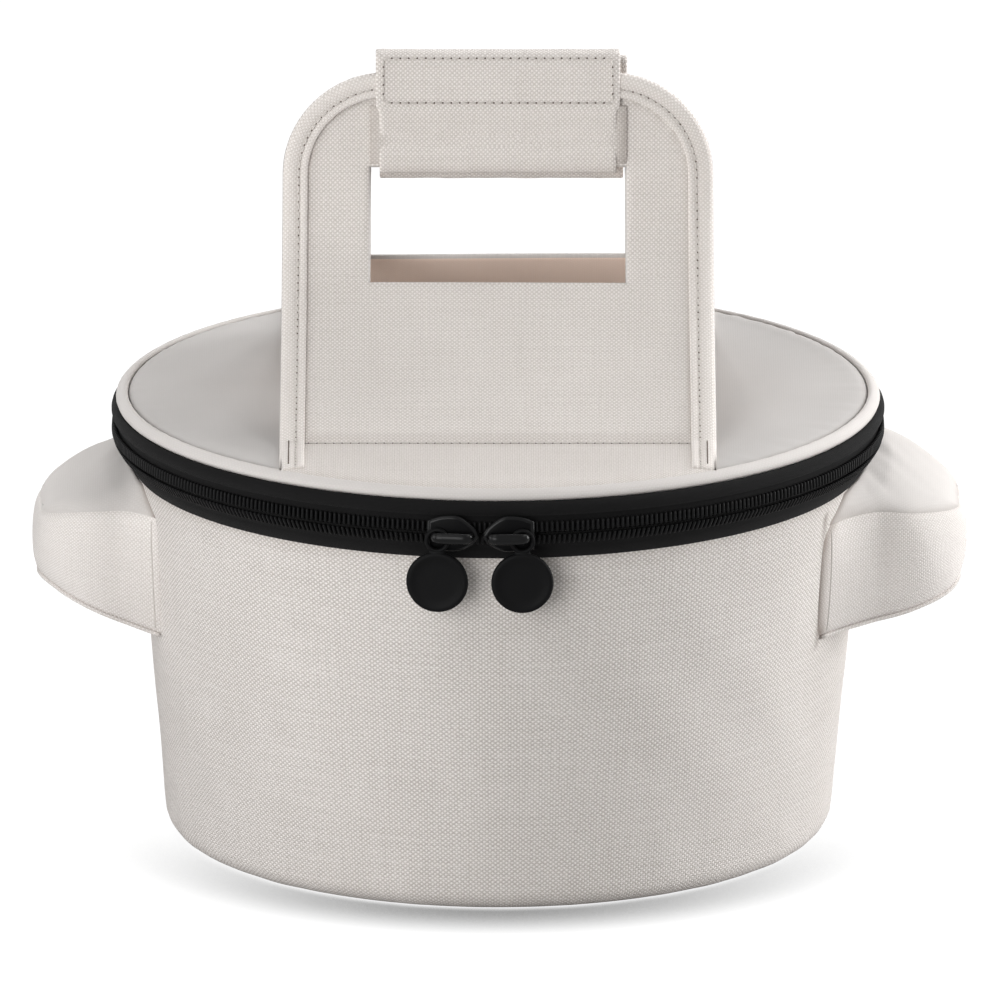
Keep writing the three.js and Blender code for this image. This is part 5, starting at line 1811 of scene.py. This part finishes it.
@dataclass
class Studio:
    """Floor, soft lamps, white surround and the camera of the photograph."""

    target: RGB = (0.86 * MM, 0.0, 142.3 * MM)
    elevation: float = math.radians(15.6)
    distance: float = 14.0
    lens: float = 1176.7
    floor_half: float = 8.0
    floor_colour: RGB = (0.450, 0.447, 0.444)
    floor_seen: RGB = (0.080, 0.080, 0.079)
    floor_glow: float = 1.0
    surround: float = 0.02
    # Reach, depth, fall and lean of the shadow painted into the floor's glow.
    shadow_reach: float = 38.0 * MM
    shadow_depth: float = 1.55
    shadow_fall: float = 1.5
    shadow_lean: tuple[float, float] = (0.97, 0.24)
    lamps: tuple[tuple[str, float, float, float, float, float], ...] = (
        ("left side", -75.0, 0.6, 2.2, 1.3, 18.0),
        ("left front", -25.0, 0.6, 2.2, 1.3, 30.0),
        ("right back", 100.0, 0.6, 2.2, 1.3, 57.0),
        ("left high", -35.0, 1.9, 1.5, 1.2, 8.5),
        ("right high", 60.0, 1.9, 1.5, 1.2, 6.0),
        ("right back high", 120.0, 1.9, 1.5, 1.2, 15.0),
        ("back high", 180.0, 1.9, 1.5, 1.2, 27.0),
    )

    def build(self) -> None:
        """Makes the stage, the lamps and the camera."""
        scene = bpy.context.scene
        scene.view_settings.view_transform = "Standard"
        self.build_floor()
        self.build_world(scene)
        for name, turn, height, away, size, power in self.lamps:
            place = (away * math.sin(math.radians(turn)), -away * math.cos(math.radians(turn)), height)
            self.lamp(name, place, size, power)
        camera = bpy.data.cameras.new("camera")
        camera.lens, camera.sensor_width = self.lens, 36.0
        camera.clip_start, camera.clip_end = 0.1, 50.0
        obj = bpy.data.objects.new("camera", camera)
        scene.collection.objects.link(obj)
        back = Vector((0.0, -math.cos(self.elevation), math.sin(self.elevation)))
        obj.location = Vector(self.target) + back * self.distance
        obj.rotation_euler = (-back).to_track_quat("-Z", "Y").to_euler()
        scene.camera = obj

    def lamp(self, name: str, place: RGB, size: float, power: float) -> None:
        """A soft square lamp that looks at the object."""
        data = bpy.data.lights.new(name, "AREA")
        data.energy, data.size = power, size
        obj = bpy.data.objects.new(name, data)
        bpy.context.scene.collection.objects.link(obj)
        obj.location = Vector(place)
        obj.rotation_euler = (Vector(self.target) - obj.location).to_track_quat("-Z", "Y").to_euler()

    def build_floor(self) -> None:
        """A pale floor that looks white away from the object, with a painted shadow in its glow that falls to
        the front.
        """
        half = self.floor_half
        mesh = bpy.data.meshes.new("floor")
        corners = [(-half, -half, 0.0), (half, -half, 0.0), (half, half, 0.0), (-half, half, 0.0)]
        mesh.from_pydata(corners, [], [(0, 1, 2, 3)])
        floor = bpy.data.objects.new("floor", mesh)
        bpy.context.scene.collection.objects.link(floor)
        shader = Shader("pale floor")
        # Painted shadow: the floor's glow is darkened where ambient occlusion towards the back exceeds that
        # towards the front.
        lean, rise = self.shadow_lean
        behind, before = (shader.node("AmbientOcclusion", Distance=self.shadow_reach,
                                      Normal=shader.vector(0.0, way * lean, rise)).outputs["AO"]
                          for way in (1.0, -1.0))
        shade = shader.math("MAXIMUM", shader.math("SUBTRACT", before, behind), 0.0)
        shade = shader.math("POWER", shade, self.shadow_fall)
        open_air = shader.math("SUBTRACT", self.floor_glow, shader.math("MULTIPLY", shade, self.shadow_depth))
        glow = shader.math("MULTIPLY", open_air, shader.seen())
        colour = shader.mix(shader.seen(), self.floor_colour, self.floor_seen)
        shader.set(base_color=colour, roughness=1.0, specular_ior_level=0.0)
        shader.set(emission_color=(1.0, 1.0, 1.0), emission_strength=glow)
        mesh.materials.append(shader.material)

    def build_world(self, scene: bpy.types.Scene) -> None:
        """Soft light all round, white where it is seen."""
        world = bpy.data.worlds.new("surround")
        world.use_nodes = True
        nodes = Nodes(world.node_tree)
        level = nodes.node("MapRange", Value=nodes.seen(), To_Min=self.surround, To_Max=1.0)
        light = nodes.node("Background", Color=(1.0, 1.0, 1.0, 1.0), Strength=level.outputs[0])
        nodes.node("OutputWorld", Surface=light.outputs[0])
        scene.world = world


def main() -> None:
    """Builds the carrier, piece by piece, and its studio."""
    logging.basicConfig(level=logging.INFO, format="%(name)s %(message)s")
    Studio().build()
    tub = Tub()
    tub.build()
    for hand in Hand:
        Ear(tub, hand).build()
    zipper = Zip()
    zipper.build()
    Lid().build()
    for side in Side:
        Handle(side).build()
    for hand in Hand:
        Slider(hand, zipper.middle).build()


if __name__ == "__main__":
    main()
